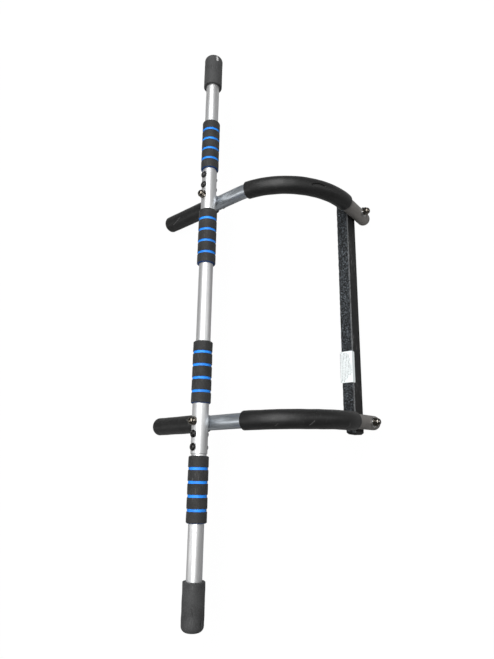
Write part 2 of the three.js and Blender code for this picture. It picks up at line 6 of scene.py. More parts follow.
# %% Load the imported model
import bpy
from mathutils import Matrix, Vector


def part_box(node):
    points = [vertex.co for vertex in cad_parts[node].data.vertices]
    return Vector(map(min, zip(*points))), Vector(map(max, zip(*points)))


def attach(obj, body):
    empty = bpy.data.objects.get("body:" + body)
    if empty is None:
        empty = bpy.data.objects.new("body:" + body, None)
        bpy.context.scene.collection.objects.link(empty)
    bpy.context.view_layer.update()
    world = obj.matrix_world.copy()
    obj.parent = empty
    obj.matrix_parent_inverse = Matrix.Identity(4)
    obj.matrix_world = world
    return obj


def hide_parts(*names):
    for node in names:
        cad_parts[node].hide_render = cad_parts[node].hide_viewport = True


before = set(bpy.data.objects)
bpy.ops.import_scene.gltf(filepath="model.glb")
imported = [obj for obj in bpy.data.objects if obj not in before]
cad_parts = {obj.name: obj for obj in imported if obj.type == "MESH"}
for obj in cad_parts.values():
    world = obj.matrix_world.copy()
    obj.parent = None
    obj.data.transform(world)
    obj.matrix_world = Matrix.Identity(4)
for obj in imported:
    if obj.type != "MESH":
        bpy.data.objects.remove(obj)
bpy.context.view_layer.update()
print(len(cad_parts), "nodes in the frame")

# %% Tools
import math

import bmesh
import bpy
import numpy as np
from mathutils import Matrix, Vector, noise

MM = 0.001
DEG = math.pi / 180
SIDES = (("left", 1), ("right", -1))

# %% [markdown]
# ## Where things are
# The bar lies tipped on its handles, so plain X, Y and Z are awkward to draw in. A frame of its
# own makes every tube simple: Y runs along the long bar, and Z along the bolts that hold the arms.
# Its origin is the middle of the centre tube, and its down direction is found from a nut that
# sits straight under the bar.

# %% The bar's own frame
def centre(node):
    low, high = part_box(node)
    return (low + high) / 2


bar_middle = centre("centre_tube")
to_nut = centre("extension_nut_left_1") - bar_middle
up = -Vector((to_nut.x, 0, to_nut.z)).normalized()
bar_turn = Matrix((Vector((up.z, 0, -up.x)), Vector((0, 1, 0)), up)).transposed()
BAR = Matrix.Translation(bar_middle) @ bar_turn.to_4x4() @ Matrix.Scale(MM, 4)
print("tilt in degrees", round(math.degrees(math.atan2(-up.x, up.z)), 2))

# %% [markdown]
# ## Shared sizes
# The bar and the arms are one inch tube, and the bar is widened where the arms are bolted on. Most
# other pieces are built on these few numbers, in millimetres: R is a radius, GAP is the air left
# between neighbours, and ARM_DROP is how far an arm's middle line lies under the bar's. A size
# that only one kind of piece has is given where that piece is made.

# %% Shared sizes
BAR_R = 12.5
SLEEVE_R = 13.7
TUBE_WALL = 1.2
GAP = 0.3
ARM_Y = 205.5
ARM_R = 12.5
ARM_DROP = 27.6
ARM_LEAN = 2 * DEG
STRAIGHT, BEND_R, BEND = 51.8, 134, 94.2 * DEG
ARM_LENGTH = STRAIGHT + BEND_R * BEND + 75.7
print("an arm is", round(ARM_LENGTH, 1), "mm long from its bolt to its tip")

# %% [markdown]
# ## One way to make a skin
# Nearly every piece here is a section carried along a line: a turned grip, a bent tube, a strip
# of foam. Screw and curve modifiers could do that, but then each kind of piece would need its own
# set-up. One helper that joins a list of rings into a skin serves them all, and knows which face
# belongs to which ring, so a face can be given its finish as it is made. Ends that close on a
# point get one shared vertex there, and a hollow sleeve closes on itself like a tyre.

# %% Rings into a mesh
def skin(name, rings, at=Matrix(), closed="poles", paint=None, sharp=32):
    """rings is a list of arrays of points in millimetres, all of one length.

    closed is "poles" for ends that meet in a point, or "loop" for a sleeve. paint gives the
    material index of a face by its ring and its place round it."""
    count = len(rings[0])
    points, index = [], []
    for ring in rings:
        if np.ptp(ring, axis=0).max() < 1e-6:
            index.append([len(points)] * count)
            points.append(ring[0])
        else:
            index.append(list(range(len(points), len(points) + count)))
            points.extend(ring)
    pairs = list(zip(range(len(rings) - 1), range(1, len(rings))))
    if closed == "loop":
        pairs.append((len(rings) - 1, 0))
    faces, paints = [], []
    for low, high in pairs:
        for i in range(count):
            j = (i + 1) % count
            corners = (index[low][i], index[low][j], index[high][j], index[high][i])
            face = tuple(dict.fromkeys(corners))
            if len(face) > 2:
                faces.append(face)
                paints.append(paint(low, i) if paint else 0)
    mesh = bpy.data.meshes.new(f"{name}_skin")
    move = np.array(BAR @ at)
    placed = np.array(points) @ move[:3, :3].T + move[:3, 3]
    mesh.from_pydata(placed.tolist(), [], faces)
    mesh.polygons.foreach_set("material_index", paints)
    piece = bpy.data.objects.new(f"{name}_skin", mesh)
    bpy.context.scene.collection.objects.link(piece)
    finish_mesh(mesh, sharp)
    return piece


def finish_mesh(mesh, sharp):
    """Turns every face outwards and shades smooth, except over edges sharper than an angle."""
    work = bmesh.new()
    work.from_mesh(mesh)
    bmesh.ops.recalc_face_normals(work, faces=work.faces)
    work.to_mesh(mesh)
    work.free()
    mesh.shade_smooth()
    mesh.set_sharp_from_angle(angle=sharp * DEG)


def capped(rings):
    """Closes both ends of a stack of rings on their middle points."""
    ends = [np.repeat(ring.mean(0)[None], len(ring), 0) for ring in (rings[0], rings[-1])]
    return [ends[0], *rings, ends[1]]


# %% [markdown]
# ## Rounded profiles
# No real edge is perfectly sharp. A Bevel modifier could soften the finished mesh, but it gives
# every edge one width. So a profile is written as its corners with a radius for each, and this
# helper swaps each corner for a small arc, so that edges catch the light.

# %% Corner rounding
def rounded(corners, closed=False, steps=4):
    """corners are (a, b, radius). Gives [a, b] points with an arc at each corner."""
    nearly_straight = 89.9 * DEG
    most_of_a_side = 0.49
    out = []
    last = len(corners) - 1
    for i, (a, b, radius) in enumerate(corners):
        here = np.array((a, b), float)
        if radius == 0 or (not closed and i in (0, last)):
            out.append(here)
            continue
        before = np.array(corners[i - 1][:2], float) - here
        after = np.array(corners[(i + 1) % len(corners)][:2], float) - here
        lengths = np.linalg.norm(before), np.linalg.norm(after)
        before, after = before / lengths[0], after / lengths[1]
        half = math.acos(np.clip(before @ after, -1, 1)) / 2
        if half > nearly_straight:
            out.append(here)
            continue
        cut = min(radius / math.tan(half), *(length * most_of_a_side for length in lengths))
        true_radius = cut * math.tan(half)
        halfway = (before + after) / np.linalg.norm(before + after)
        middle = here + halfway * true_radius / math.sin(half)
        start, end = here + before * cut - middle, here + after * cut - middle
        turn = math.atan2(start[0] * end[1] - start[1] * end[0], start @ end)
        for k in range(steps + 1):
            c, s = math.cos(turn * k / steps), math.sin(turn * k / steps)
            spoke = (c * start[0] - s * start[1], s * start[0] + c * start[1])
            out.append(middle + np.array(spoke))
    return np.array(out)


def dense(profile, step):
    """Adds points so that no stretch of a profile is longer than step."""
    out = [profile[0]]
    for point in profile[1:]:
        parts = max(1, math.ceil(np.linalg.norm(point - out[-1]) / step))
        start = out[-1]
        out.extend(start + (point - start) * k / parts for k in range(1, parts + 1))
    return np.array(out)


def filled(corners, steps, counts):
    """A closed outline with round corners, and points spread evenly along its sides."""
    arcs = rounded(corners, closed=True, steps=steps).reshape(len(corners), steps + 1, 2)
    out = []
    for k, count in enumerate(counts):
        out.extend(arcs[k])
        start, end = arcs[k][-1], arcs[(k + 1) % len(corners)][0]
        out.extend(start + (end - start) * n / count for n in range(1, count))
    return np.array(out)


# %% [markdown]
# A turned piece is a profile spun about Y, as on a lathe. An arm is the same idea with a bent
# middle line: straight, then a circle's arc, then straight again, so a point on it and its
# direction come from plain geometry. A curve object with a bevel would look the same, but its ends
# can't be shaped.

# %% Turning and sweeping
FINE = 96


def circle(count):
    turn = np.arange(count) * 2 * math.pi / count
    return np.cos(turn), np.sin(turn)


def turned(profile, count=72):
    """Rings about Y from [radius, y] points."""
    c, s = circle(count)
    return [np.stack([r * c, np.full(count, y), r * s], 1) for r, y in profile]


def arm_at(s):
    """A point on the arm's middle line and its direction, by the length from the arm bolt."""
    turn = min(max((s - STRAIGHT) / BEND_R, 0), BEND)
    along = np.array((math.cos(turn), 0, -math.sin(turn)))
    point = np.array((STRAIGHT + BEND_R * math.sin(turn), 0, -BEND_R * (1 - math.cos(turn))))
    return point + along * (s - STRAIGHT - BEND_R * turn), along


def swept(profile, count=FINE):
    """Rings along the arm's middle line from [radius, length] points."""
    c, s = circle(count)
    across = np.array((0, 1, 0))
    rings = []
    for radius, length in profile:
        point, along = arm_at(length)
        out = np.cross(across, along)
        rings.append(point + radius * (c[:, None] * across + s[:, None] * out))
    return rings


def mirrored(side):
    """Everything on the right is the left turned about Z, as the frame's pieces are."""
    return Matrix() if side > 0 else Matrix.Rotation(math.pi, 4, "Z")


def leaning(side):
    """An arm's place: under the bar, leaning in about its handle's middle line."""
    place = Matrix.Translation((0, side * ARM_Y, -ARM_DROP))
    return place @ Matrix.Rotation(-side * ARM_LEAN, 4, "X")


print("an arm's tip in the bar's frame", arm_at(ARM_LENGTH)[0].round(1))

# %% [markdown]
# ## Standing in for the frame's pieces
# Each piece made here stands for the frame's node in the same place, moves with it, and names the
# finish it takes. A foam sleeve on a tube can't sag, so a cloth simulation would change nothing. A
# slow noise that moves its skin in and out by a fraction of a millimetre gives it the unevenness of
# soft foam.

# %% Stand in
made = {}


def stand_in(piece, node, materials):
    for material in materials:
        piece.data.materials.append(material)
    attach(piece, "root")
    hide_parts(node)
    made[node] = piece
    print("made", node, "with", len(piece.data.polygons), "faces")
    return piece


def lumpy(piece, amount, size, seed):
    """Moves a foam's skin in and out by a smooth noise, in millimetres."""
    normals = [v.normal.copy() for v in piece.data.vertices]
    for vertex, normal in zip(piece.data.vertices, normals):
        value = noise.noise(vertex.co / (size * MM) + Vector((seed, 0, 0)))
        vertex.co += normal * value * amount * MM
    piece.data.update()


# %% [markdown]
# Old foam is cut and torn. A bump in the finish would look flat from the side, so a cut is made in
# the mesh itself: the faces along a line are divided finely, and the points close to the line are
# pushed in. Torn foam inside is pale, so the faces at the bottom may take another finish.

# %% Cuts and tears
DIVIDED, SHORTEST = 1.5, 0.3
STEEPNESS = 1.6
RAGGED_EVERY = 1.1


def cut_into(piece, at, path, width, depth, inside=None, ragged=0.0, passes=2):
    """Presses a groove along a path of points in a piece's own frame, in millimetres.

    inside is a material index and the share of the width that takes it."""
    place = BAR @ at
    line = [place @ Vector(point) for point in path]

    def away(point):
        best = math.inf
        for a, b in zip(line, line[1:]):
            along = b - a
            share = along.dot(point - a) / max(along.length_squared, 1e-12)
            best = min(best, (point - a - along * min(1, max(0, share))).length)
        return best / MM + noise.noise(point / (RAGGED_EVERY * MM)) * ragged

    work = bmesh.new()
    work.from_mesh(piece.data)
    for _ in range(passes):
        near = [edge for edge in work.edges
                if away((edge.verts[0].co + edge.verts[1].co) / 2) < width * DIVIDED
                and edge.calc_length() > width * SHORTEST * MM]
        bmesh.ops.subdivide_edges(work, edges=near, cuts=1, use_grid_fill=True)
    work.normal_update()
    pushes = [(v, v.normal.copy(), 1 - away(v.co) / width) for v in work.verts]
    for vertex, normal, share in pushes:
        if share > 0:
            vertex.co -= normal * min(1, share * STEEPNESS) * depth * MM
    if inside is not None:
        index, share = inside
        for face in work.faces:
            if away(face.calc_center_median()) < width * share:
                face.material_index = index
    work.to_mesh(piece.data)
    work.free()


# %% [markdown]
# ## Shader groups
# Steel, paint, foam and rubber share the same few effects: fine grain, patchy tone, scratches and
# worn edges. Each effect is a node group, built once, and a material sets its strength. All of
# them work from the piece's own coordinates, so the scale is real: a metre is a metre.

# %% A small builder for node trees
class Tree:
    """Short words for making nodes and links."""

    def __init__(self, tree):
        self.tree = tree

    def add(self, kind, **settings):
        node = self.tree.nodes.new("ShaderNode" + kind)
        for key, value in settings.items():
            setattr(node, key, value)
        return node

    def feed(self, socket, value):
        if hasattr(value, "is_output"):
            self.tree.links.new(value, socket)
        else:
            socket.default_value = value

    def math(self, operation, a, b=0.0, clamp=False):
        node = self.add("Math", operation=operation, use_clamp=clamp)
        self.feed(node.inputs[0], a)
        self.feed(node.inputs[1], b)
        return node.outputs[0]

    def noise(self, at, scale, detail=2.0, rough=0.5, warp=0.0):
        node = self.add("TexNoise")
        self.feed(node.inputs["Vector"], at)
        self.feed(node.inputs["Scale"], scale)
        self.feed(node.inputs["Detail"], detail)
        self.feed(node.inputs["Roughness"], rough)
        self.feed(node.inputs["Distortion"], warp)
        return node.outputs["Fac"]

    def spread(self, value, low, high, to_low=0.0, to_high=1.0):
        node = self.add("MapRange", clamp=True)
        for name, number in (("Value", value), ("From Min", low), ("From Max", high),
                             ("To Min", to_low), ("To Max", to_high)):
            self.feed(node.inputs[name], number)
        return node.outputs["Result"]

    def mix(self, share, a, b):
        node = self.add("Mix", data_type="RGBA")
        self.feed(node.inputs["Factor"], share)
        self.feed(node.inputs["A"], a)
        self.feed(node.inputs["B"], b)
        return node.outputs["Result"]

    def stretched(self, at, scale, turn=(0.0, 0.0, 0.0)):
        node = self.add("Mapping")
        self.feed(node.inputs["Vector"], at)
        node.inputs["Rotation"].default_value = turn
        node.inputs["Scale"].default_value = scale
        return node.outputs["Vector"]


def group(name, inputs, outputs, fill_in):
    """A node group whose sockets are (name, kind, default) and whose inside fill_in makes."""
    tree = bpy.data.node_groups.new(name, "ShaderNodeTree")
    for socket, kind, default in inputs:
        made_socket = tree.interface.new_socket(socket, in_out="INPUT", socket_type=kind)
        if default is not None:
            made_socket.default_value = default
    for socket, kind in outputs:
        tree.interface.new_socket(socket, in_out="OUTPUT", socket_type=kind)
    t = Tree(tree)
    source = tree.nodes.new("NodeGroupInput").outputs
    results = fill_in(t, source)
    target = tree.nodes.new("NodeGroupOutput").inputs
    for socket, value in results.items():
        t.feed(target[socket], value)
    print("group", name, "gives", ", ".join(results))
    return tree


FLOAT, COLOUR, VECTOR = "NodeSocketFloat", "NodeSocketColor", "NodeSocketVector"

# %% [markdown]
# Foam rubber is a skin of burst bubbles: pits from half a millimetre to two, with lighter rims.
# Noise alone looks like sand, so small cells from a Voronoi texture make the pits, and a fine
# noise breaks them up.

# %% Foam grain
def foam_inside(t, source):
    at = source["Place"]
    cells = t.add("TexVoronoi", feature="F1")
    t.feed(cells.inputs["Vector"], at)
    t.feed(cells.inputs["Scale"], source["Cells"])
    fine = t.noise(at, source["Cells"], 3.0, 0.7)
    pits = t.spread(cells.outputs["Distance"], 0.1, 0.75)
    height = t.math("ADD", t.math("MULTIPLY", pits, 0.55), t.math("MULTIPLY", fine, 0.9))
    fleck = t.spread(fine, 0.5, 0.74)
    patch = t.noise(at, source["Patches"], 4.0, 0.6)
    tone = t.mix(t.spread(patch, 0.3, 0.7), source["Dark"], source["Light"])
    colour = t.mix(t.math("MULTIPLY", fleck, source["Flecks"]), tone, source["Fleck Colour"])
    return {"Colour": colour, "Height": height}


FOAM = group("foam grain", [
    ("Place", VECTOR, None), ("Cells", FLOAT, 1500.0), ("Patches", FLOAT, 30.0),
    ("Dark", COLOUR, (0.02, 0.02, 0.02, 1)), ("Light", COLOUR, (0.05, 0.05, 0.05, 1)),
    ("Flecks", FLOAT, 0.4), ("Fleck Colour", COLOUR, (0.2, 0.2, 0.2, 1)),
], [("Colour", COLOUR), ("Height", FLOAT)], foam_inside)

# %% [markdown]
# Handling leaves thin, short scratches that run every way. A noise stretched into long streaks and
# cut to its thinnest crests looks like them. Two directions cross each other.

# %% Scratches
def scratch_inside(t, source):
    streaks = []
    for turn in ((0.3, 0.9, 0.4), (1.2, 0.2, 1.9)):
        at = t.stretched(source["Place"], (900.0, 55.0, 900.0), turn)
        streaks.append(t.spread(t.noise(at, 1.0, 1.0, 0.4), 0.66, 0.72))
    both = t.math("MAXIMUM", *streaks)
    where = t.spread(t.noise(source["Place"], 24.0, 2.0), 0.5, 0.62)
    mask = t.math("MULTIPLY", t.math("MULTIPLY", both, where), source["Amount"], clamp=True)
    return {"Mask": mask}


SCRATCHES = group("scratches", [("Place", VECTOR, None), ("Amount", FLOAT, 1.0)],
                  [("Mask", FLOAT)], scratch_inside)

# %% [markdown]
# Paint wears through at outside edges first. The Pointiness output depends on how finely a mesh is
# divided, so a Bevel node is used: it gives a rounded normal, and where that differs from the true
# one there is an edge.

# %% Worn edges
def worn_inside(t, source):
    bevel = t.add("Bevel", samples=6)
    t.feed(bevel.inputs["Radius"], source["Width"])
    flat = t.add("NewGeometry").outputs["Normal"]
    turn = t.add("VectorMath", operation="DOT_PRODUCT")
    t.feed(turn.inputs[0], bevel.outputs["Normal"])
    t.feed(turn.inputs[1], flat)
    edge = t.spread(turn.outputs["Value"], 0.998, 0.93)
    broken = t.spread(t.noise(source["Place"], 420.0, 4.0, 0.7), 0.42, 0.6)
    worn = t.math("MULTIPLY", edge, broken)
    return {"Mask": t.math("MULTIPLY", worn, source["Amount"], clamp=True)}


WORN = group("worn edges", [
    ("Place", VECTOR, None), ("Width", FLOAT, 0.0008), ("Amount", FLOAT, 1.0),
], [("Mask", FLOAT)], worn_inside)

# %% [markdown]
# Drawn steel tube has faint lines, a slightly uneven sheen, and dull smudges from hands. The lines
# are a noise stretched along Y, the long bar's own direction.

# %% Drawn metal
def drawn_inside(t, source):
    lines = t.noise(t.stretched(source["Place"], (2600.0, 18.0, 2600.0)), 1.0, 3.0, 0.6)
    smudge = t.noise(source["Place"], 14.0, 5.0, 0.65)
    tone = t.mix(t.spread(smudge, 0.35, 0.7), source["Light"], source["Dark"])
    colour = t.mix(t.math("MULTIPLY", t.spread(lines, 0.35, 0.75), 0.3), tone, source["Dark"])
    rough = t.math("ADD", source["Roughness"], t.spread(smudge, 0.3, 0.75, 0.0, 0.14))
    return {"Colour": colour, "Roughness": rough, "Height": lines}


DRAWN = group("drawn metal", [
    ("Place", VECTOR, None), ("Light", COLOUR, (0.8, 0.8, 0.8, 1)),
    ("Dark", COLOUR, (0.6, 0.6, 0.6, 1)), ("Roughness", FLOAT, 0.3),
], [("Colour", COLOUR), ("Roughness", FLOAT), ("Height", FLOAT)], drawn_inside)

# %% [markdown]
# A material starts as one Principled shader. A number that is the same all over is set on the
# shader itself, and only what changes over the surface comes from nodes.

# %% Using the groups in a material
def material(name, **constants):
    """A Principled material with constants on its sockets, and a Tree to add to it."""
    made_material = bpy.data.materials.new(name)
    made_material.use_nodes = True
    tree = made_material.node_tree
    shader = tree.nodes["Principled BSDF"]
    for socket, value in constants.items():
        shader.inputs[socket.replace("_", " ")].default_value = value
    t = Tree(tree)
    place = t.add("TexCoord").outputs["Object"]
    print("finish", name)
    return made_material, t, shader, place


def use(t, tree, place, **values):
    node = t.tree.nodes.new("ShaderNodeGroup")
    node.node_tree = tree
    t.feed(node.inputs["Place"], place)
    for key, value in values.items():
        t.feed(node.inputs[key.replace("_", " ")], value)
    return node.outputs


def bump(t, shader, height, depth):
    node = t.add("Bump")
    node.inputs["Strength"].default_value = 1.0
    node.inputs["Distance"].default_value = depth * MM
    t.feed(node.inputs["Height"], height)
    t.feed(shader.inputs["Normal"], node.outputs["Normal"])


def grey(value, blue=0.0):
    return (value, value * (1 + blue * 0.5), value * (1 + blue), 1)


# %% [markdown]
# ## Finishes
# The foams differ in tone and grain, so one function makes them all. The grips are fine and dark
# grey, the arm sleeves smoother and darker, the end caps dusty and paler, and the crossbar's pad
# coarse and bluish, with its front sides painted paler as a highlight. Scuffed and torn foam show
# only inside the marks.

# %% Foam finishes
def foam(name, dark, light, fleck, flecks, cells, depth, roughness, blue=0.0, scratched=0.5):
    result, t, shader, place = material(name, Specular_IOR_Level=0.35, Sheen_Weight=0.06)
    grain = use(t, FOAM, place, Cells=cells, Patches=38.0, Dark=grey(dark, blue),
                Light=grey(light, blue), Flecks=flecks, Fleck_Colour=grey(fleck, blue))
    marks = use(t, SCRATCHES, place, Amount=scratched)["Mask"]
    colour = t.mix(marks, grain["Colour"], grey(fleck * 1.5, blue))
    t.feed(shader.inputs["Base Color"], colour)
    duller, glossier = roughness + 0.12, roughness - 0.08
    t.feed(shader.inputs["Roughness"], t.spread(grain["Height"], 0.3, 1.1, duller, glossier))
    bump(t, shader, grain["Height"], depth)
    return result


grip_foam = foam("grip foam", 0.01, 0.024, 0.08, 0.6, 1100.0, 0.16, 0.72, 0.03)
sleeve_foam = foam("sleeve foam", 0.004, 0.010, 0.04, 0.4, 1700.0, 0.08, 0.46, 0.0)
scuffed_foam = foam("scuffed foam", 0.04, 0.12, 0.3, 0.6, 1700.0, 0.1, 0.7, 0.0)
torn_foam = foam("torn foam", 0.25, 0.6, 0.8, 0.5, 900.0, 0.3, 0.9, 0.0, 0.0)
cap_foam = foam("cap foam", 0.024, 0.048, 0.12, 0.5, 1000.0, 0.14, 0.7, 0.03, 0.3)
pad_foam = foam("pad foam", 0.001, 0.005, 0.17, 1.0, 430.0, 0.6, 0.85, 0.3, 0.2)
# The pad's front sides are painted paler, a painted highlight along its edge.
pad_side_highlight = foam("pad side painted as highlight", 0.06, 0.2, 0.5, 0.9, 420.0, 0.6, 0.9, 0.08, 0.0)


def blue_foam(name, dark, light):
    result, t, shader, place = material(name, Roughness=0.55, Specular_IOR_Level=0.4)
    grain = use(t, FOAM, place, Cells=1500.0, Patches=60.0, Dark=dark, Light=light,
                Flecks=0.35, Fleck_Colour=(0.1, 0.5, 0.95, 1))
    t.feed(shader.inputs["Base Color"], grain["Colour"])
    bump(t, shader, grain["Height"], 0.08)
    return result


bright_blue = blue_foam("blue foam in the grooves", (0.008, 0.16, 0.6, 1), (0.02, 0.3, 0.95, 1))
# The dark blue copy is the same blue foam painted dark as shade, for the thin layer's bore and
# ends.
blue_foam_shade = blue_foam("blue foam painted dark as shade", (0.001, 0.012, 0.07, 1), (0.002, 0.03, 0.16, 1))

# %% [markdown]
# The long bar is bright metallic paint over steel, and the arms have a darker, bluer coat. Both
# are mostly metal, with the drawn lines and smudges of the group above. The crossbar and the bolts
# are black paint, the acorn nuts black nickel, and the washers bright zinc.

# %% Metal finishes
def metal(name, light, dark, roughness, metallic, wear, depth=0.01, edge=(0.5, 0.48, 0.45, 1)):
    result, t, shader, place = material(name, Metallic=metallic, Coat_Weight=0.0)
    drawn = use(t, DRAWN, place, Light=light, Dark=dark, Roughness=roughness)
    marks = use(t, SCRATCHES, place, Amount=wear)["Mask"]
    worn = use(t, WORN, place, Width=0.0006, Amount=wear)["Mask"]
    colour = t.mix(marks, drawn["Colour"], grey(0.75))
    t.feed(shader.inputs["Base Color"], t.mix(worn, colour, edge))
    scratched = t.math("MULTIPLY", marks, 0.2)
    t.feed(shader.inputs["Roughness"], t.math("ADD", drawn["Roughness"], scratched))
    bump(t, shader, drawn["Height"], depth)
    return result


silver = metal("silver steel", grey(0.8), grey(0.66, 0.03), 0.44, 0.88, 0.35)
arm_paint = metal("blue-grey arm paint", grey(0.56, 0.16), grey(0.42, 0.14), 0.32, 0.88, 0.4)
tip_paint = metal("arm tip paint", grey(0.26, -0.1), grey(0.19, -0.1), 0.5, 0.3, 0.4)
# A painted shadow: the near-black line where each extension tube steps out of the widened end.
rim_shadow = metal("painted rim shadow", grey(0.03), grey(0.02), 0.5, 0.5, 0.2)
black_nickel = metal("black nickel", (0.2, 0.18, 0.15, 1), (0.1, 0.09, 0.08, 1), 0.12, 1.0, 0.5,
                     0.004)
black_paint = metal("black crossbar paint", grey(0.003), grey(0.002, 0.05), 0.5, 0.0, 0.35)
black_gloss = metal("black fastener", grey(0.008), grey(0.004), 0.1, 0.0, 0.4, 0.004)
black_gloss.node_tree.nodes["Principled BSDF"].inputs["Specular IOR Level"].default_value = 0.22
zinc = metal("bright zinc", grey(0.85), grey(0.6), 0.16, 0.97, 0.2, 0.004)

# %% [markdown]
# Moulded plastic has a fine, even texture, and its edges are rubbed paler.

# %% Plastic finishes
def plastic(name, colour, roughness, wear):
    result, t, shader, place = material(name, Specular_IOR_Level=0.45)
    fine = t.noise(place, 2200.0, 3.0, 0.6)
    patch = t.spread(t.noise(place, 60.0, 4.0), 0.3, 0.7)
    darker = tuple(c * 0.72 for c in colour[:3]) + (1,)
    worn = use(t, WORN, place, Width=0.0007, Amount=wear)["Mask"]
    pale = tuple(min(1.0, c * 1.7 + 0.03) for c in colour[:3]) + (1,)
    t.feed(shader.inputs["Base Color"], t.mix(worn, t.mix(patch, colour, darker), pale))
    t.feed(shader.inputs["Roughness"], t.spread(fine, 0.2, 0.8, roughness - 0.08, roughness + 0.12))
    bump(t, shader, fine, 0.03)
    return result


saddle_plastic = plastic("saddle plastic", (0.3, 0.32, 0.35, 1), 0.45, 0.4)
plug_plastic = plastic("plug plastic", (0.004, 0.004, 0.0045, 1), 0.4, 0.25)

# %% [markdown]
# ## The long bar
# The middle tube is widened at both ends, and an extension tube slides into each. The rim of each
# widened end is painted dark as a painted shadow at the step, and shows as a thin line just before
# the outer grip. Each tube is a turned wall with a real bore, rather than a cylinder with a black
# disc for its hole.

# %% Long bar tubes
SLEEVE_START, SLEEVE_END, SLEEVE_BORE = 159.5, 257.5, 12.8
SWAGE = 12
EXTENSION = (162.5, 505.4)
PLAIN, PAINTED_RIM, RIM_WIDTH = 0, 1, 0.6


def softened(points, end, bend=3):
    """Gives a line of [radius, y] points one rounding at its ends and another between them."""
    last = len(points) - 1
    return [(r, y, end if i in (0, last) else bend) for i, (r, y) in enumerate(points)]


def tube(name, outside, inside, at=Matrix(), rims=False):
    profile = rounded(softened(outside, 0.7) + softened(inside[::-1], 0.2), closed=True)

    def paint(ring, _):
        along = (profile[ring][1] + profile[(ring + 1) % len(profile)][1]) / 2
        # Faces in the last 0.6 mm of each widened end take the painted shadow line.
        return PAINTED_RIM if rims and abs(along) > SLEEVE_END - RIM_WIDTH else PLAIN

    piece = skin(name, turned(profile, FINE), at, "loop", paint)
    return stand_in(piece, name, [silver, rim_shadow])


def centre_wall(plain, wide):
    plain_end = SLEEVE_START - SWAGE
    half = [(plain, plain_end), (wide, SLEEVE_START), (wide, SLEEVE_END)]
    return [(r, -y) for r, y in half[::-1]] + half


# The centre tube takes the painted shadow line at both widened ends.
tube("centre_tube", centre_wall(BAR_R, SLEEVE_R), centre_wall(BAR_R - TUBE_WALL, SLEEVE_BORE),
     rims=True)
for side_name, side in SIDES:
    wall = [(BAR_R, y) for y in EXTENSION]
    bore = [(r - TUBE_WALL, y) for r, y in wall]
    tube(f"extension_tube_{side_name}", wall, bore, mirrored(side))

# %% [markdown]
# ## The grips
# Each grip is two layers of foam: a thin blue one next to the tube, and a thicker dark one with
# four grooves cut through to the blue. The grooves could be cut with a boolean, but in a turned
# piece they are only a few more corners of the profile. Their lips are soft, and the blue bulges a
# little between them. The thin layer's bore and end faces, and a ring at the end that faces -Y,
# take
# a dark blue copy of the blue foam: painted shade, where those faces are turned from the light.

# %% Grips
GRIP_R, LAYER_R = 16.5, 14.2
GRIPS = {"inner": (71.1, 105.4), "outer": (260.7, 102.3)}
BANDS, BAND_WIDTH, BAND_MARGIN, LIP = 4, 4.3, 19.7, 0.45
GROOVE, BULGE = 1.1, 0.75
RING_R, RING_DEEP = 15.9, 1.2
DARK, IN_GROOVE, BLUE_SHADE = 0, 1, 2


def grip_profile(length, bore):
    corners = [(GRIP_R - 1.7, 0, 0.5), (GRIP_R, 1.5, 1.2)]
    for i in range(BANDS):
        middle = BAND_MARGIN + i * (length - 2 * BAND_MARGIN) / (BANDS - 1)
        low, high = middle - BAND_WIDTH / 2, middle + BAND_WIDTH / 2
        corners += [(GRIP_R, low - 0.1, LIP), (GRIP_R - GROOVE, low + 0.25, 0.15)]
        corners += [(GRIP_R - BULGE, middle, 3)]
        corners += [(GRIP_R - GROOVE, high - 0.25, 0.15), (GRIP_R, high + 0.1, LIP)]
    corners += [(GRIP_R, length - 1.5, 1.2), (GRIP_R - 1.7, length, 0.5), (LAYER_R, length, 0.1)]
    corners += bore + [(LAYER_R, 0, 0.1)]
    return dense(rounded(corners, closed=True), 2.0)


def grip_paint(profile, length, side):
    ringed_end = 0 if side > 0 else length

    def paint(ring, _):
        radius, y = (profile[ring] + profile[(ring + 1) % len(profile)]) / 2
        # The thin layer's faces and its ring at the -Y end take the dark blue copy, painted shade.
        if radius < LAYER_R or radius < RING_R and abs(y - ringed_end) < RING_DEEP:
            return BLUE_SHADE
        return IN_GROOVE if radius < GRIP_R - 0.55 and 3 < y < length - 3 else DARK
    return paint


def grip(kind, side_name, side):
    start, length = GRIPS[kind]
    narrow, wide = BAR_R + GAP, SLEEVE_R + GAP
    bore = [(narrow, length, 0.2), (narrow, 0, 0.2)]
    if kind == "inner":
        bore = [(wide, length, 0.2), (wide, SLEEVE_START - start, 2),
                (narrow, SLEEVE_START - SWAGE - start, 2), (narrow, 0, 0.2)]
    profile = grip_profile(length, bore)
    node = f"{kind}_grip_{side_name}"
    at = mirrored(side) @ Matrix.Translation((0, start, 0))
    piece = skin(node, turned(profile), at, "loop", grip_paint(profile, length, side), sharp=50)
    lumpy(piece, amount=0.16, size=9, seed=3.1 * side + len(kind))
    return stand_in(piece, node, [grip_foam, bright_blue, blue_foam_shade])


for side_name, side in SIDES:
    for kind in GRIPS:
        grip(kind, side_name, side)

# %% [markdown]
# ## The end caps
# Thick closed foam caps protect the door frame. They take every knock, so one tip is torn open in
# a small ragged notch and the other has a worn corner. Each tear is a path over the cap's skin, and
# the helper above presses it in.

# %% End caps
CAP_R, CAP_START, CAP_LENGTH = 17.5, 446, 69
CAP_TIP = CAP_START + CAP_LENGTH
TORN = 1


def closed_sleeve(mouth_radius, radius, length, bore, floor, rounding):
    """[radius, along] points from the round tip's middle to the bore's floor."""
    corners = [(0, length, 0), (radius, length, rounding), (radius, 0, 0.8), (mouth_radius, 0, 0.4),
               (bore, 0, 0.3), (bore, length - floor, 1), (0, length - floor, 0)]
    return dense(rounded(corners, steps=12), 1.6)


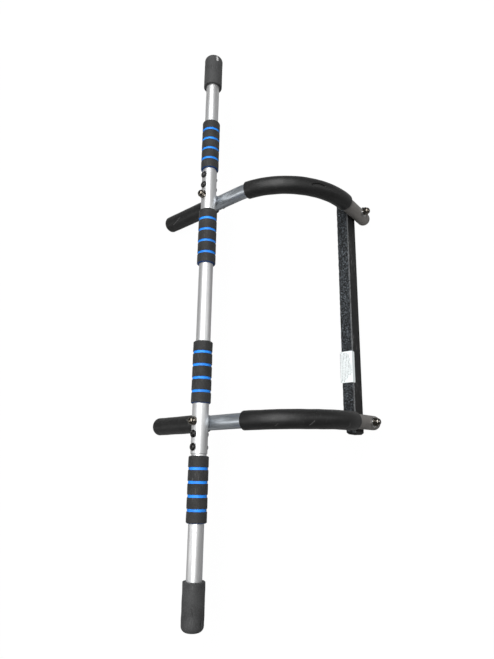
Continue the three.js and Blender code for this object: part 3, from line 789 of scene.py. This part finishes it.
def end_cap(side_name, side):
    profile = closed_sleeve(mouth_radius=15.6, radius=CAP_R, length=CAP_LENGTH, bore=BAR_R + GAP,
                            floor=7, rounding=9.5)
    at = mirrored(side) @ Matrix.Translation((0, CAP_START, 0))
    piece = skin(f"end_cap_{side_name}", turned(profile, FINE), at, sharp=60)
    lumpy(piece, amount=0.3, size=12, seed=7.7 * side)
    return stand_in(piece, f"end_cap_{side_name}", [cap_foam, torn_foam])


for side_name, side in SIDES:
    end_cap(side_name, side)
# Each tear: a path of points by their distance from the tip, its width and depth, the finish
# inside, and how ragged it is.
damage = (
    ("left", [(14.5, 15, 5.5), (14, 8, 5), (11, 3, 4)], 3.0, 4.5, (TORN, 0.85), 1.2),
    ("left", [(2, 6, 16.5), (10, 5, 12.5), (15, 9, 8)], 1.5, 2.2, None, 0.8),
    ("right", [(16.5, 17, -1), (16, 8, -1.5), (13, 3, 2)], 2.4, 2.4, None, 1.6),
    ("right", [(11, 34, 13.5), (13.5, 24, 11)], 0.9, 0.7, None, 0.6),
)
for cap, path, width, depth, inside, ragged in damage:
    side = dict(SIDES)[cap]
    points = [(x, side * (CAP_TIP - back), z) for x, back, z in path]
    cut_into(made[f"end_cap_{cap}"], Matrix(), points, width, depth, inside, ragged)

# %% [markdown]
# ## The arms
# Each arm is one tube: straight through the handle, bent a little more than a right angle, and
# spun shut into a round tip. The same sweep makes the tube and the long foam sleeve on it. The
# last stretch, past the foam, has lost its bright coat.

# %% Arm tubes
HANDLE_TIP, HANDLE_MOUTH, HANDLE_FLOOR = -144.5, -14, 6
TUBE_END = HANDLE_TIP + HANDLE_FLOOR + 2.6
COATED, BARE, BARE_LENGTH = 0, 1, 80


def stations(start, end, step):
    """Lengths along an arm, close enough together that its bend looks round."""
    return np.linspace(start, end, max(2, math.ceil((end - start) / step) + 1))


def round_tip(radius, steps=14):
    turns = np.linspace(0, math.pi / 2, steps + 1)
    return [(radius * math.cos(a), ARM_LENGTH + radius * math.sin(a)) for a in turns]


def arm_profile(radius):
    return [(radius, s) for s in stations(TUBE_END, ARM_LENGTH, 4)[:-1]] + round_tip(radius)


arm_wall = arm_profile(ARM_R - TUBE_WALL)[::-1] + arm_profile(ARM_R)


def arm_coat(ring, _):
    return BARE if arm_wall[ring][1] > ARM_LENGTH - BARE_LENGTH else COATED


for side_name, side in SIDES:
    piece = skin(f"arm_tube_{side_name}", swept(arm_wall), leaning(side), paint=arm_coat)
    stand_in(piece, f"arm_tube_{side_name}", [arm_paint, tip_paint])

# %% [markdown]
# Between each arm and the bar sits a small saddle: a pad hollowed by the bar above and by the arm
# below, with a hole for the bolt. Two booleans would cut those hollows, but leave long thin faces.
# Here its skin is one sheet round the hole: out along the underside, over the rim and back along
# the top, and its height comes from the two tubes that it rests between.

# %% Saddles
SADDLE_X, SADDLE_Y, SADDLE_HOLE = 6.6, 9.2, 4.3
SADDLE_STEPS, THINNEST, SOFT_RIM = 6, 0.4, 0.985


def saddle_rings():
    c, s = circle(FINE)
    squarish = (np.abs(c) ** 4 + np.abs(s) ** 4) ** -0.25
    rim = np.stack([SADDLE_X * squarish * c, SADDLE_Y * squarish * s], 1)
    hole = np.stack([SADDLE_HOLE * c, SADDLE_HOLE * s], 1)
    above, below = SLEEVE_R + GAP, ARM_R + GAP
    outwards = [k / SADDLE_STEPS for k in range(SADDLE_STEPS + 1)]
    underside = [(share, 1, SOFT_RIM) for share in outwards]
    top_side = [(1 - share, 0, SOFT_RIM) for share in outwards]
    rings = []
    for share, under, reach in underside + [(1.0, 0.5, 1.0)] + top_side:
        flat = hole + (rim * reach - hole) * share
        top = -np.sqrt(above ** 2 - flat[:, 0] ** 2)
        bottom = -ARM_DROP + np.sqrt(below ** 2 - flat[:, 1] ** 2)
        thick = np.minimum(bottom, top - THINNEST) - top
        rings.append(np.column_stack([flat, top + thick * under]))
    return rings


for side_name, side in SIDES:
    at = Matrix.Translation((0, side * ARM_Y, 0))
    piece = skin(f"saddle_{side_name}", saddle_rings(), at, "loop")
    stand_in(piece, f"saddle_{side_name}", [saddle_plastic])

# %% [markdown]
# ## The foam on the arms
# The handle's foam is a closed sleeve with a round end, like the caps but slimmer. The long sleeve
# over the bend is cut square at both ends. One sleeve has a deep slit over the bend, and shallow
# scuffs show paler foam, so each mark is a path given by its length along the arm and its turn
# round it.

# %% Arm foams
ARM_FOAM_R = 15.6
FOAM_FROM, FOAM_TO = STRAIGHT + 19.7, ARM_LENGTH - 75.5
SCUFFED = 1


def arm_foam(kind, side_name, rings, at, closed, lump, size, seed):
    node = f"{kind}_{side_name}"
    piece = skin(node, rings, at, closed, sharp=60)
    lumpy(piece, lump, size, seed)
    return stand_in(piece, node, [sleeve_foam, scuffed_foam])


def handle_foam(side_name, side):
    length = HANDLE_MOUTH - HANDLE_TIP
    profile = closed_sleeve(mouth_radius=14.6, radius=ARM_FOAM_R, length=length,
                            bore=ARM_R + GAP, floor=HANDLE_FLOOR, rounding=10.5)
    back = Matrix.Rotation(math.pi / 2, 4, "Z")
    at = leaning(side) @ Matrix.Translation((HANDLE_MOUTH, 0, 0)) @ back
    arm_foam("handle_foam", side_name, turned(profile, FINE), at, "poles", 0.25, 14, 5.3 * side)


def long_foam(side_name, side):
    ends = [(ARM_FOAM_R, FOAM_FROM, 0.9), (ARM_FOAM_R, FOAM_TO, 0.9),
            (ARM_R + GAP, FOAM_TO, 0.3), (ARM_R + GAP, FOAM_FROM, 0.3)]
    profile = dense(rounded(ends, closed=True), 2.0)
    arm_foam("arch_foam", side_name, swept(profile), leaning(side), "loop", 0.3, 16, 2.9 * side)


def on_foam(length, turn):
    """A point on an arm foam's skin: turn is 0 towards its outer side and 90 on top."""
    point, along = arm_at(length)
    out = np.cross((0, 1, 0), along)
    c, s = math.cos(turn * DEG), math.sin(turn * DEG)
    return point + ARM_FOAM_R * (c * np.array((0, 1, 0)) - s * out)


for side_name, side in SIDES:
    handle_foam(side_name, side)
    long_foam(side_name, side)
# Each mark: the sleeve, its side, a path by length and turn, its width and depth, and the finish.
marks = (
    ("arch_foam_left", 1, ((185, 104), (191, 92), (198, 88), (207, 96)), 1.3, 2.6, None),
    ("arch_foam_right", -1, ((174, 132), (181, 104)), 0.8, 0.35, (SCUFFED, 0.7)),
    ("arch_foam_right", -1, ((240, 152), (244, 128), (242, 112)), 0.7, 0.3, (SCUFFED, 0.7)),
    ("arch_foam_right", -1, ((125, 136), (131, 116)), 0.6, 0.25, (SCUFFED, 0.6)),
    ("handle_foam_left", 1, ((-119, 136), (-105, 120), (-95, 104)), 0.7, 0.3, (SCUFFED, 0.6)),
    ("handle_foam_right", -1, ((-52, 60), (-42, 76), (-43, 100)), 0.7, 0.35, (SCUFFED, 0.6)),
)
for node, side, path, width, depth, inside in marks:
    points = [on_foam(length, turn) for length, turn in path]
    cut_into(made[node], leaning(side), points, width, depth, inside, ragged=0.25)

# %% [markdown]
# ## Fasteners
# Bolt heads and nuts are turned shapes whose middle part is a hexagon. A six-sided cylinder with a
# bevel would miss the curved lines where the chamfer meets the flats. One helper builds a ring
# that is a circle or a hexagon, and where a chamfer cone cuts the hexagon's corners the smaller of
# the two radii is used, which is just what a lathe does to hexagonal bar.

# %% Turned hexagons
HEX_STEPS = 72


def hex_radius(flats):
    turn = (np.arange(HEX_STEPS) * 2 * math.pi / HEX_STEPS) % (math.pi / 3)
    return flats / 2 / np.cos(turn - math.pi / 6)


def stack(levels):
    """Rings about Z from (radius, z) or (radius, z, flats): the flats trim or make a hexagon."""
    c, s = circle(HEX_STEPS)
    rings = []
    for radius, z, *flats in levels:
        reach = np.minimum(radius, hex_radius(flats[0])) if flats else np.full(HEX_STEPS, radius)
        rings.append(np.stack([reach * c, reach * s, np.full(HEX_STEPS, z)], 1))
    return rings


def dome(radius, low, high, steps=12):
    turns = np.linspace(0, math.pi / 2, steps + 1)
    return [(radius * math.cos(a), low + (high - low) * math.sin(a)) for a in turns]


M8 = {"shank": 4, "flats": 13, "nut": 6, "head": 5.3, "flange": 7.3, "flange_height": 1.6}
LOW_M8 = {"shank": 4, "head": 2, "head_radius": 6.5, "socket": 5, "deep": 1.2}
M6 = {"shank": 3, "flats": 9, "nut": 2.4, "head": 3.6, "head_radius": 6.3, "socket": 4, "deep": 2}
WASHER = {"outer": 9, "inner": 4.3, "thick": 1.5}
PAST_NUT = 2


def flange_levels(flats, flange, height):
    return [(flange - 0.3, 0), (flange, 0.3), (flange, height * 0.55), (flange - 0.4, height * 0.8),
            (flats / 2 + 0.7, height + 0.35, flats)]


def acorn_levels():
    flats, top, full = M8["flats"], M8["nut"], M8["nut"] + 5
    corner = flats / math.sqrt(3)
    bore = [(0, top + 2.3), (4.3, top + 2.3), (4.3, 0)]
    sides = [(corner, 2.1, flats), (corner, top - 0.9, flats), (flats / 2 - 0.2, top + 0.1, flats)]
    return bore + flange_levels(flats, M8["flange"], M8["flange_height"]) + sides + dome(
        flats / 2 - 0.45, top + 0.2, full)


def thread(radius, low, high, pitch=1.0):
    """Rings of a thread's crests and roots, as seen on a bolt's end."""
    root = radius - 0.35
    levels = []
    for k in range(max(1, int((high - low) / pitch))):
        z = low + k * pitch
        levels += [(radius, z + 0.15), (radius, z + 0.35), (root, z + 0.65), (root, z + 0.8)]
    return levels


def flanged_levels(reach):
    flats, head = M8["flats"], M8["head"]
    corner = flats / math.sqrt(3)
    end = [(0, -reach), (M8["shank"] - 0.6, -reach), (M8["shank"], -reach + 0.6)]
    sides = [(corner, 2.1, flats), (corner, head - 0.9, flats), (flats / 2 - 0.1, head, flats),
             (flats / 2 - 1.2, head), (flats / 2 - 1.6, head - 0.25), (0, head - 0.25)]
    flange = flange_levels(flats, M8["flange"], M8["flange_height"])
    return end + [(M8["shank"], 0)] + flange + sides


def round_head_levels(size, reach):
    shank, head, radius = size["shank"], size["head"], size["head_radius"]
    socket, bottom = size["socket"], head - size["deep"]
    corner = socket / math.sqrt(3)
    end = [(0, -reach), (shank - 0.5, -reach)]
    body = thread(shank, -reach + 0.4, -reach + 8.4) + [(shank, -reach + 9), (shank, 0)]
    curve = [(r, z) for r, z in dome(radius, 0.35, head) if r > corner + 0.9]
    inside = [(corner + 0.8, head), (corner + 0.25, head - 0.15, socket + 0.4),
              (corner, head - 0.4, socket), (corner, bottom, socket), (0, bottom - 0.4)]
    return end + body + [(radius, 0)] + curve + inside


def nut_levels():
    flats, height = M6["flats"], M6["nut"]
    corner, bore = flats / math.sqrt(3), M6["shank"] + 0.3
    return [(bore, 0.3), (bore + 0.4, 0), (flats / 2 - 0.1, 0, flats), (corner, 0.7, flats),
            (corner, height - 0.7, flats), (flats / 2 - 0.1, height, flats), (bore + 0.4, height),
            (bore, height - 0.3)]


def washer_levels():
    outer, inner, high = WASHER.values()
    return [(inner, 0.2), (inner + 0.2, 0), (outer - 0.35, 0), (outer, 0.35), (outer, high - 0.4),
            (outer - 0.4, high), (inner + 0.3, high), (inner, high - 0.25)]


# %% [markdown]
# Every fastener stands on the face that it is tightened against. The arm bolts go up through arm,
# saddle and bar into acorn nuts, and two thinner bolts pin each extension in its sleeve. Heads and
# nuts are turned by a few degrees from each other, as hands leave them.

# %% Fasteners on the bar
def seat(x, y, z, upwards=True, turn=0.0):
    flip = Matrix() if upwards else Matrix.Rotation(math.pi, 4, "X")
    return Matrix.Translation((x, y, z)) @ flip @ Matrix.Rotation(turn, 4, "Z")


def fastener(node, levels, at, closed="poles", finish=None):
    piece = skin(node, stack(levels), at, closed, sharp=28)
    return stand_in(piece, node, [finish or black_gloss])


PINS = (226, 246.8)
BAR_FACE = SLEEVE_R + GAP
HEAD_FACE = -ARM_DROP - ARM_R - GAP
for side_name, side in SIDES:
    y = side * ARM_Y
    levels = round_head_levels(LOW_M8, BAR_FACE - HEAD_FACE + M8["nut"] + PAST_NUT)
    fastener(f"arm_bolt_{side_name}", levels, seat(0, y, HEAD_FACE, False, 0.3))
    at = seat(0, y, BAR_FACE, True, 0.2 + side * 0.15)
    fastener(f"arm_nut_{side_name}", acorn_levels(), at, finish=black_nickel)
    for i, pin in enumerate(PINS, 1):
        reach = 2 * BAR_FACE + M6["nut"]
        at = seat(0, side * pin, BAR_FACE, True, 0.5 * i + side)
        fastener(f"extension_bolt_{side_name}_{i}", round_head_levels(M6, reach), at)
        under = seat(0, side * pin, -BAR_FACE, False, 0.4 * i)
        fastener(f"extension_nut_{side_name}_{i}", nut_levels(), under, "loop")

# %% [markdown]
# ## The crossbar
# A flat steel tube joins the two arm tips. Its own frame has X along its bolts, pointing outwards,
# and Z back up the arms. The section is a rectangle with rounded corners. It could be a scaled
# cube, but it has to be hollow, and its long walls need points to take a knock mark.

# %% The crossbar's frame and section
CROSS_WIDE, CROSS_DEEP, TO_TIP = 30, 20, 10
TO_BOLT = 25
CROSS_FACE = -ARM_R - GAP
CROSS_BACK = CROSS_FACE - CROSS_DEEP
CROSS_TOP = TO_TIP + CROSS_WIDE
lean = Matrix.Rotation(-ARM_LEAN, 4, "X")
tip_point, tip_along = (lean @ Vector(part) for part in arm_at(ARM_LENGTH))
CROSS = Matrix.Translation((tip_point.x, 0, tip_point.z - ARM_DROP)) @ Matrix.Rotation(
    math.atan2(-tip_along.x, -tip_along.z), 4, "Y")
BOLT_Y = ARM_Y + (lean @ Vector(arm_at(ARM_LENGTH - TO_BOLT)[0])).y
CROSS_END = BOLT_Y + 20
print("crossbar bolts at", round(BOLT_Y, 2), "mm")


def section(inset, corner, along=24):
    """A rounded rectangle round the crossbar's middle, as [x, z] points evenly spread."""
    half_x, half_z = CROSS_DEEP / 2 - inset, CROSS_WIDE / 2 - inset
    corners = [(half_x, -half_z, corner), (half_x, half_z, corner),
               (-half_x, half_z, corner), (-half_x, -half_z, corner)]
    middle = (CROSS_FACE + CROSS_BACK) / 2, TO_TIP + CROSS_WIDE / 2
    return filled(corners, 6, [along] * 4) + middle


def cross_ring(outline, y):
    return np.stack([outline[:, 0], np.full(len(outline), float(y)), outline[:, 1]], 1)


# %% [markdown]
# The tube is one loop of sections: along the outside, over the softened end, and back through the
# bore. A plug fills each end. Its flange covers the tube's edge, and its face slopes in all round.

# %% Crossbar tube and plugs
CROSS_WALL, CORNER, SOFT = 1.5, 2.6, 0.3
tube_end = CROSS_END - 5.3
bore_section = section(CROSS_WALL, CORNER - CROSS_WALL)
rings = [cross_ring(section(SOFT, CORNER), -tube_end)]
rings += [cross_ring(section(0, CORNER), y)
          for y in np.linspace(-tube_end + SOFT, tube_end - SOFT, 90)]
rings += [cross_ring(section(SOFT, CORNER), tube_end)]
rings += [cross_ring(bore_section, y) for y in (tube_end, -tube_end)]
piece = skin("crossbar_tube", rings, CROSS, "loop", sharp=40)
knock = [(CROSS_FACE, y, z) for y, z in ((158, 33), (154, 30), (157, 27))]
cut_into(piece, CROSS, knock, width=1.3, depth=1.0)
stand_in(piece, "crossbar_tube", [black_paint])

# A plug's levels: how far its outline is inset, its corner radius, and its place along Y.
plug_levels = [(CROSS_WALL + GAP, 1, -14), (CROSS_WALL + GAP, 1, -5), (0.2, CORNER, -5),
               (0, CORNER, -4.8), (0, CORNER, -3.2), (0.35, CORNER, -2.7), (2.6, 2.2, -0.45),
               (3.4, 2, 0)]
rings = [cross_ring(section(inset, corner), CROSS_END + y) for inset, corner, y in plug_levels]
for side_name, side in SIDES:
    at = CROSS @ Matrix.Scale(side, 4, (0, 1, 0))
    piece = skin(f"crossbar_plug_{side_name}", capped(rings), at, sharp=35)
    stand_in(piece, f"crossbar_plug_{side_name}", [plug_plastic])

# %% [markdown]
# ## The pad
# Two strips of coarse foam are stuck to the crossbar's narrow face, and meet in a slanted seam.
# Their front sides are painted paler as a highlight. A strip is a rounded section carried along Y,
# whose ends follow the seam and the cut-off corner. Two sizes of noise make it lumpy.

# %% Pad strips
PAD_THICK, PAD_END = 6.5, CROSS_END - 2
SEAM, SEAM_SLANT, SEAM_OPEN, END_CUT = 60, 4, 0.15, 8
FACE, PAINTED_HIGHLIGHT, HIGHLIGHT_SIDE = 0, 1, range(3, 14)
PAD_STEPS = 100


def pad_section(inset, across=26, up=10):
    low, high = CROSS_TOP + GAP + inset * 0.3, CROSS_TOP + GAP + PAD_THICK - inset
    left, right = CROSS_BACK + inset, CROSS_FACE - inset
    corners = [(right, low, 0.3), (right, high, 0.9), (left, high, 0.9), (left, low, 0.3)]
    return filled(corners, 4, [up, across] * 2)


def seam_at(x):
    share = (x - CROSS_BACK) / CROSS_DEEP
    return SEAM + SEAM_SLANT / 2 - SEAM_SLANT * share


def pad_strip(side_name, low_end, high_end, seed):
    """low_end and high_end give the strip's two ends along Y at each x."""
    outlines = [(pad_section(inset), run) for inset, run in ((0.9, 0.0), (0.35, 0.2), (0, 0.8))]
    lows = [(outline, low_end(outline[:, 0]) + run) for outline, run in outlines]
    highs = [(outline, high_end(outline[:, 0]) - run) for outline, run in outlines[::-1]]
    (outline, low), (_, high) = lows[-1], highs[0]
    between = [(outline, low + (high - low) * n / PAD_STEPS) for n in range(1, PAD_STEPS)]
    rings = [np.stack([xz[:, 0], y, xz[:, 1]], 1) for xz, y in lows + between + highs]

    def paint(_, i):
        # Faces on the front side take the paler foam, a painted highlight.
        return PAINTED_HIGHLIGHT if i in HIGHLIGHT_SIDE else FACE

    piece = skin(f"pad_{side_name}", capped(rings), CROSS, "poles", paint, sharp=70)
    lumpy(piece, amount=0.45, size=5, seed=seed)
    lumpy(piece, amount=0.25, size=1.7, seed=seed + 5)
    return stand_in(piece, f"pad_{side_name}", [pad_foam, pad_side_highlight])


pad_strip("left", lambda x: seam_at(x) + SEAM_OPEN, lambda x: np.full(len(x), PAD_END), 1.3)
pad_strip("right", lambda x: -PAD_END + np.maximum(0, END_CUT - (x - CROSS_BACK)),
          lambda x: seam_at(x) - SEAM_OPEN, 6.1)

# %% [markdown]
# ## The label
# A plain white paper label is stuck over the pad. It stands a little past the back edge, and is
# folded down over the front edge. It could be a plane with a Solidify modifier, but a section with
# a rounded fold, carried along Y, gives its thickness and its round corners at once.

# %% Label sheet
LABEL_FROM, LABEL_TO, LABEL_CORNER = -130.5, -74.5, 2.2
LABEL_OUT, LABEL_DOWN, LABEL_THICK = 2.6, 9.5, 0.4
label_top = CROSS_TOP + GAP + PAD_THICK + GAP
label_foot = label_top + LABEL_THICK - LABEL_DOWN
fold_x = CROSS_FACE + GAP


def label_line(offset):
    """The sheet's outline across the pad, by the length from its back edge."""
    path = rounded([(CROSS_BACK - LABEL_OUT, label_top + offset, 0),
                    (fold_x + offset, label_top + offset, 0.5 + offset),
                    (fold_x + offset, label_foot, 0)], steps=8)
    return dense(path, 0.8)


def resampled(path, count):
    steps = np.r_[0, np.cumsum(np.linalg.norm(np.diff(path, axis=0), axis=1))]
    wanted = np.linspace(0, steps[-1], count)
    return np.stack([np.interp(wanted, steps, path[:, k]) for k in (0, 1)], 1)


def label_stations(corner):
    """Places along Y, closer together in the round corners."""
    rise = corner * (1 - np.cos(np.linspace(0, math.pi / 2, 9)))
    plain = np.linspace(LABEL_FROM + corner, LABEL_TO - corner, 24)[1:-1]
    return np.concatenate([LABEL_FROM + rise, plain, LABEL_TO - rise[::-1]])


def label_sheet():
    under, over = label_line(0.0), label_line(LABEL_THICK)
    count = min(len(under), len(over))
    outline = np.concatenate([resampled(over, count), resampled(under, count)[::-1]])
    rings = []
    corner = LABEL_CORNER
    for y in label_stations(corner):
        edge = corner - min(corner, y - LABEL_FROM, LABEL_TO - y)
        short = corner - math.sqrt(max(0.0, corner * corner - edge * edge))
        ring = np.maximum(outline, (CROSS_BACK - LABEL_OUT + short, label_foot + short))
        rings.append(cross_ring(ring, y))
    return skin("label", capped(rings), CROSS, "poles", sharp=50)


# %% [markdown]
# The paper is nearly white, and glows faintly: painted light that lifts the shade on its fold.
# Print would need a drawing, but this label says nothing. Faint grey dashes in columns stand for
# it: each column takes its own noise, and a slower noise leaves gaps between the blocks.

# %% Label paper
COLUMNS, DASHES, COLUMN_SHARE = 330.0, 400.0, 0.42
# The faint emission is painted light, lifting the shade on the label's fold.
paper, t, shader, place = material("label paper", Specular_IOR_Level=0.3, Emission_Strength=0.12,
                                   Emission_Color=(0.9, 0.95, 0.95, 1))
fibre = t.noise(place, 1800.0, 4.0, 0.6)
across = t.add("VectorMath", operation="DOT_PRODUCT")
t.feed(across.inputs[0], place)
across.inputs[1].default_value = (BAR @ CROSS).to_3x3().col[0].normalized()
apart = t.add("SeparateXYZ")
t.feed(apart.inputs[0], place)
column = t.math("MULTIPLY", across.outputs["Value"], COLUMNS)
printed = t.math("LESS_THAN", t.math("FRACT", column), COLUMN_SHARE)
dash_place = t.add("CombineXYZ")
t.feed(dash_place.inputs[0], t.math("FLOOR", column))
t.feed(dash_place.inputs[1], t.math("MULTIPLY", apart.outputs["Y"], DASHES))
strokes = t.spread(t.noise(dash_place.outputs[0], 1.0, 2.0), 0.44, 0.52)
block = t.spread(t.noise(place, 55.0, 0.0), 0.46, 0.5)
ink = t.math("MULTIPLY", t.math("MULTIPLY", printed, strokes), t.math("MULTIPLY", block, 0.95))
white = t.mix(t.spread(fibre, 0.3, 0.7), (0.72, 0.76, 0.76, 1), (0.66, 0.7, 0.7, 1))
t.feed(shader.inputs["Base Color"], t.mix(ink, white, grey(0.1)))
t.feed(shader.inputs["Roughness"], t.spread(fibre, 0.3, 0.7, 0.5, 0.65))
bump(t, shader, fibre, 0.02)
stand_in(label_sheet(), "label", [paper])

# %% [markdown]
# ## Crossbar fasteners
# Each bolt goes through the crossbar and an arm's tip, with a bright washer under its acorn nut.
# They reuse the levels of the arms' fasteners, turned to point outwards.

# %% Crossbar fasteners
outwards = Matrix.Rotation(math.pi / 2, 4, "Y")
washer_face = ARM_R + GAP
nut_face = washer_face + WASHER["thick"] + GAP
head_face = CROSS_BACK - GAP
cross_bolt = flanged_levels(nut_face - head_face + M8["nut"] + PAST_NUT)
for side_name, side in SIDES:
    at = CROSS @ Matrix.Translation((0, side * BOLT_Y, TO_BOLT)) @ outwards
    fastener(f"crossbar_bolt_{side_name}", cross_bolt, at @ seat(0, 0, head_face, False, 0.2))
    washer_at = at @ seat(0, 0, washer_face)
    fastener(f"washer_{side_name}", washer_levels(), washer_at, "loop", zinc)
    nut_at = at @ seat(0, 0, nut_face, True, 0.1)
    fastener(f"crossbar_nut_{side_name}", acorn_levels(), nut_at, finish=black_nickel)

# %% [markdown]
# ## What stays from the frame
# The plugs in the tubes' ends are plain discs that the foam hides, so they stay as they are. They
# get the same plastic as the crossbar's plugs.

# %% Finishes on the frame's own nodes
for name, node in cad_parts.items():
    if name in made:
        continue
    node.data.materials.clear()
    node.data.materials.append(plug_plastic)
    print("kept", name)

# %% [markdown]
# ## Floor, light and camera
# The floor is shown white to the camera and grey to the metal, so that the tubes keep their darker
# edges. It lies a little below zero, because the truly round tips reach lower than the frame's
# faceted ones.

# %% Floor
FLOOR_REACH, FLOOR_DROP = 6.0, 0.0015
SHOWN_WHITE = 0.93
floor_mesh = bpy.data.meshes.new("floor")
floor_corners = [(x * FLOOR_REACH, y * FLOOR_REACH, 0)
                 for x, y in ((-1, -1), (1, -1), (1, 1), (-1, 1))]
floor_mesh.from_pydata(floor_corners, [], [(0, 1, 2, 3)])
floor = bpy.data.objects.new("floor", floor_mesh)
bpy.context.scene.collection.objects.link(floor)
floor.location.z = -FLOOR_DROP
floor_white = bpy.data.materials.new("white floor")
floor_white.use_nodes = True
t = Tree(floor_white.node_tree)
matt = floor_white.node_tree.nodes["Principled BSDF"]
matt.inputs["Base Color"].default_value = grey(0.22)
matt.inputs["Roughness"].default_value = 0.9
glow = t.add("Emission")
glow.inputs["Color"].default_value = grey(1.0)
glow.inputs["Strength"].default_value = 1.06
both = t.add("MixShader")
seen = t.add("LightPath").outputs["Is Camera Ray"]
t.feed(both.inputs["Fac"], t.math("MULTIPLY", seen, SHOWN_WHITE))
t.feed(both.inputs[1], matt.outputs["BSDF"])
t.feed(both.inputs[2], glow.outputs["Emission"])
t.feed(floor_white.node_tree.nodes["Material Output"].inputs["Surface"], both.outputs["Shader"])
floor_mesh.materials.append(floor_white)
print("floor at", -FLOOR_DROP, "m")

# %% [markdown]
# One wide soft light hangs above, long enough to give every tube an unbroken streak, and two weak
# ones stand at the sides. The background is pale to the camera only, for the same reason as the
# floor.

# %% Lights
def softbox(name, place, target, size, power):
    light = bpy.data.lights.new(name, "AREA")
    light.shape = "RECTANGLE"
    light.size, light.size_y = size
    light.energy = power
    lamp = bpy.data.objects.new(name, light)
    lamp.location = place
    lamp.rotation_euler = (Vector(target) - Vector(place)).to_track_quat("-Z", "Y").to_euler()
    bpy.context.scene.collection.objects.link(lamp)
    print("light", name, power, "W")


softbox("overhead", (-0.25, 0.65, 2.1), (-0.25, 0.6501, 0), (0.75, 3.2), 78)
softbox("left fill", (-1.8, -0.6, 1.0), (0, 0, 0.05), (0.4, 1.6), 6)
softbox("right fill", (1.8, 0.3, 1.3), (0, 0, 0.05), (0.4, 1.6), 8)
world = bpy.data.worlds.new("studio")
world.use_nodes = True
t = Tree(world.node_tree)
seen = t.add("LightPath").outputs["Is Camera Ray"]
dim = world.node_tree.nodes["Background"]
dim.inputs["Color"].default_value = grey(1.0)
dim.inputs["Strength"].default_value = 0.1
pale = t.add("Background")
pale.inputs["Color"].default_value = grey(0.93)
either = t.add("MixShader")
t.feed(either.inputs["Fac"], seen)
t.feed(either.inputs[1], dim.outputs["Background"])
t.feed(either.inputs[2], pale.outputs["Background"])
t.feed(world.node_tree.nodes["World Output"].inputs["Surface"], either.outputs["Shader"])
bpy.context.scene.world = world
bpy.context.scene.view_settings.view_transform = "Standard"

# %% [markdown]
# The camera stands about a metre above the right half of the bar and looks down and a little along
# it, so the left end is smaller. Its turn is made from the direction it looks in and the direction
# that is up on the screen, which is easier to think in than three angles.

# %% Camera
camera_data = bpy.data.cameras.new("camera")
camera_data.lens = 28.6
camera_data.sensor_width = 36
camera_data.clip_start = 0.05
camera = bpy.data.objects.new("camera", camera_data)
camera.location = (0.09358, -0.28895, 0.96499)
look = Vector((-0.12853, 0.26760, -0.95492))
screen_up = Vector((0.02058, 0.96342, 0.26721))
screen_right = look.cross(screen_up).normalized()
true_up = screen_right.cross(look).normalized()
turn = Matrix((screen_right, true_up, -look.normalized())).transposed()
camera.rotation_euler = turn.to_euler()
bpy.context.scene.collection.objects.link(camera)
bpy.context.scene.camera = camera
print("camera height", round(camera.location.z, 2), "m")
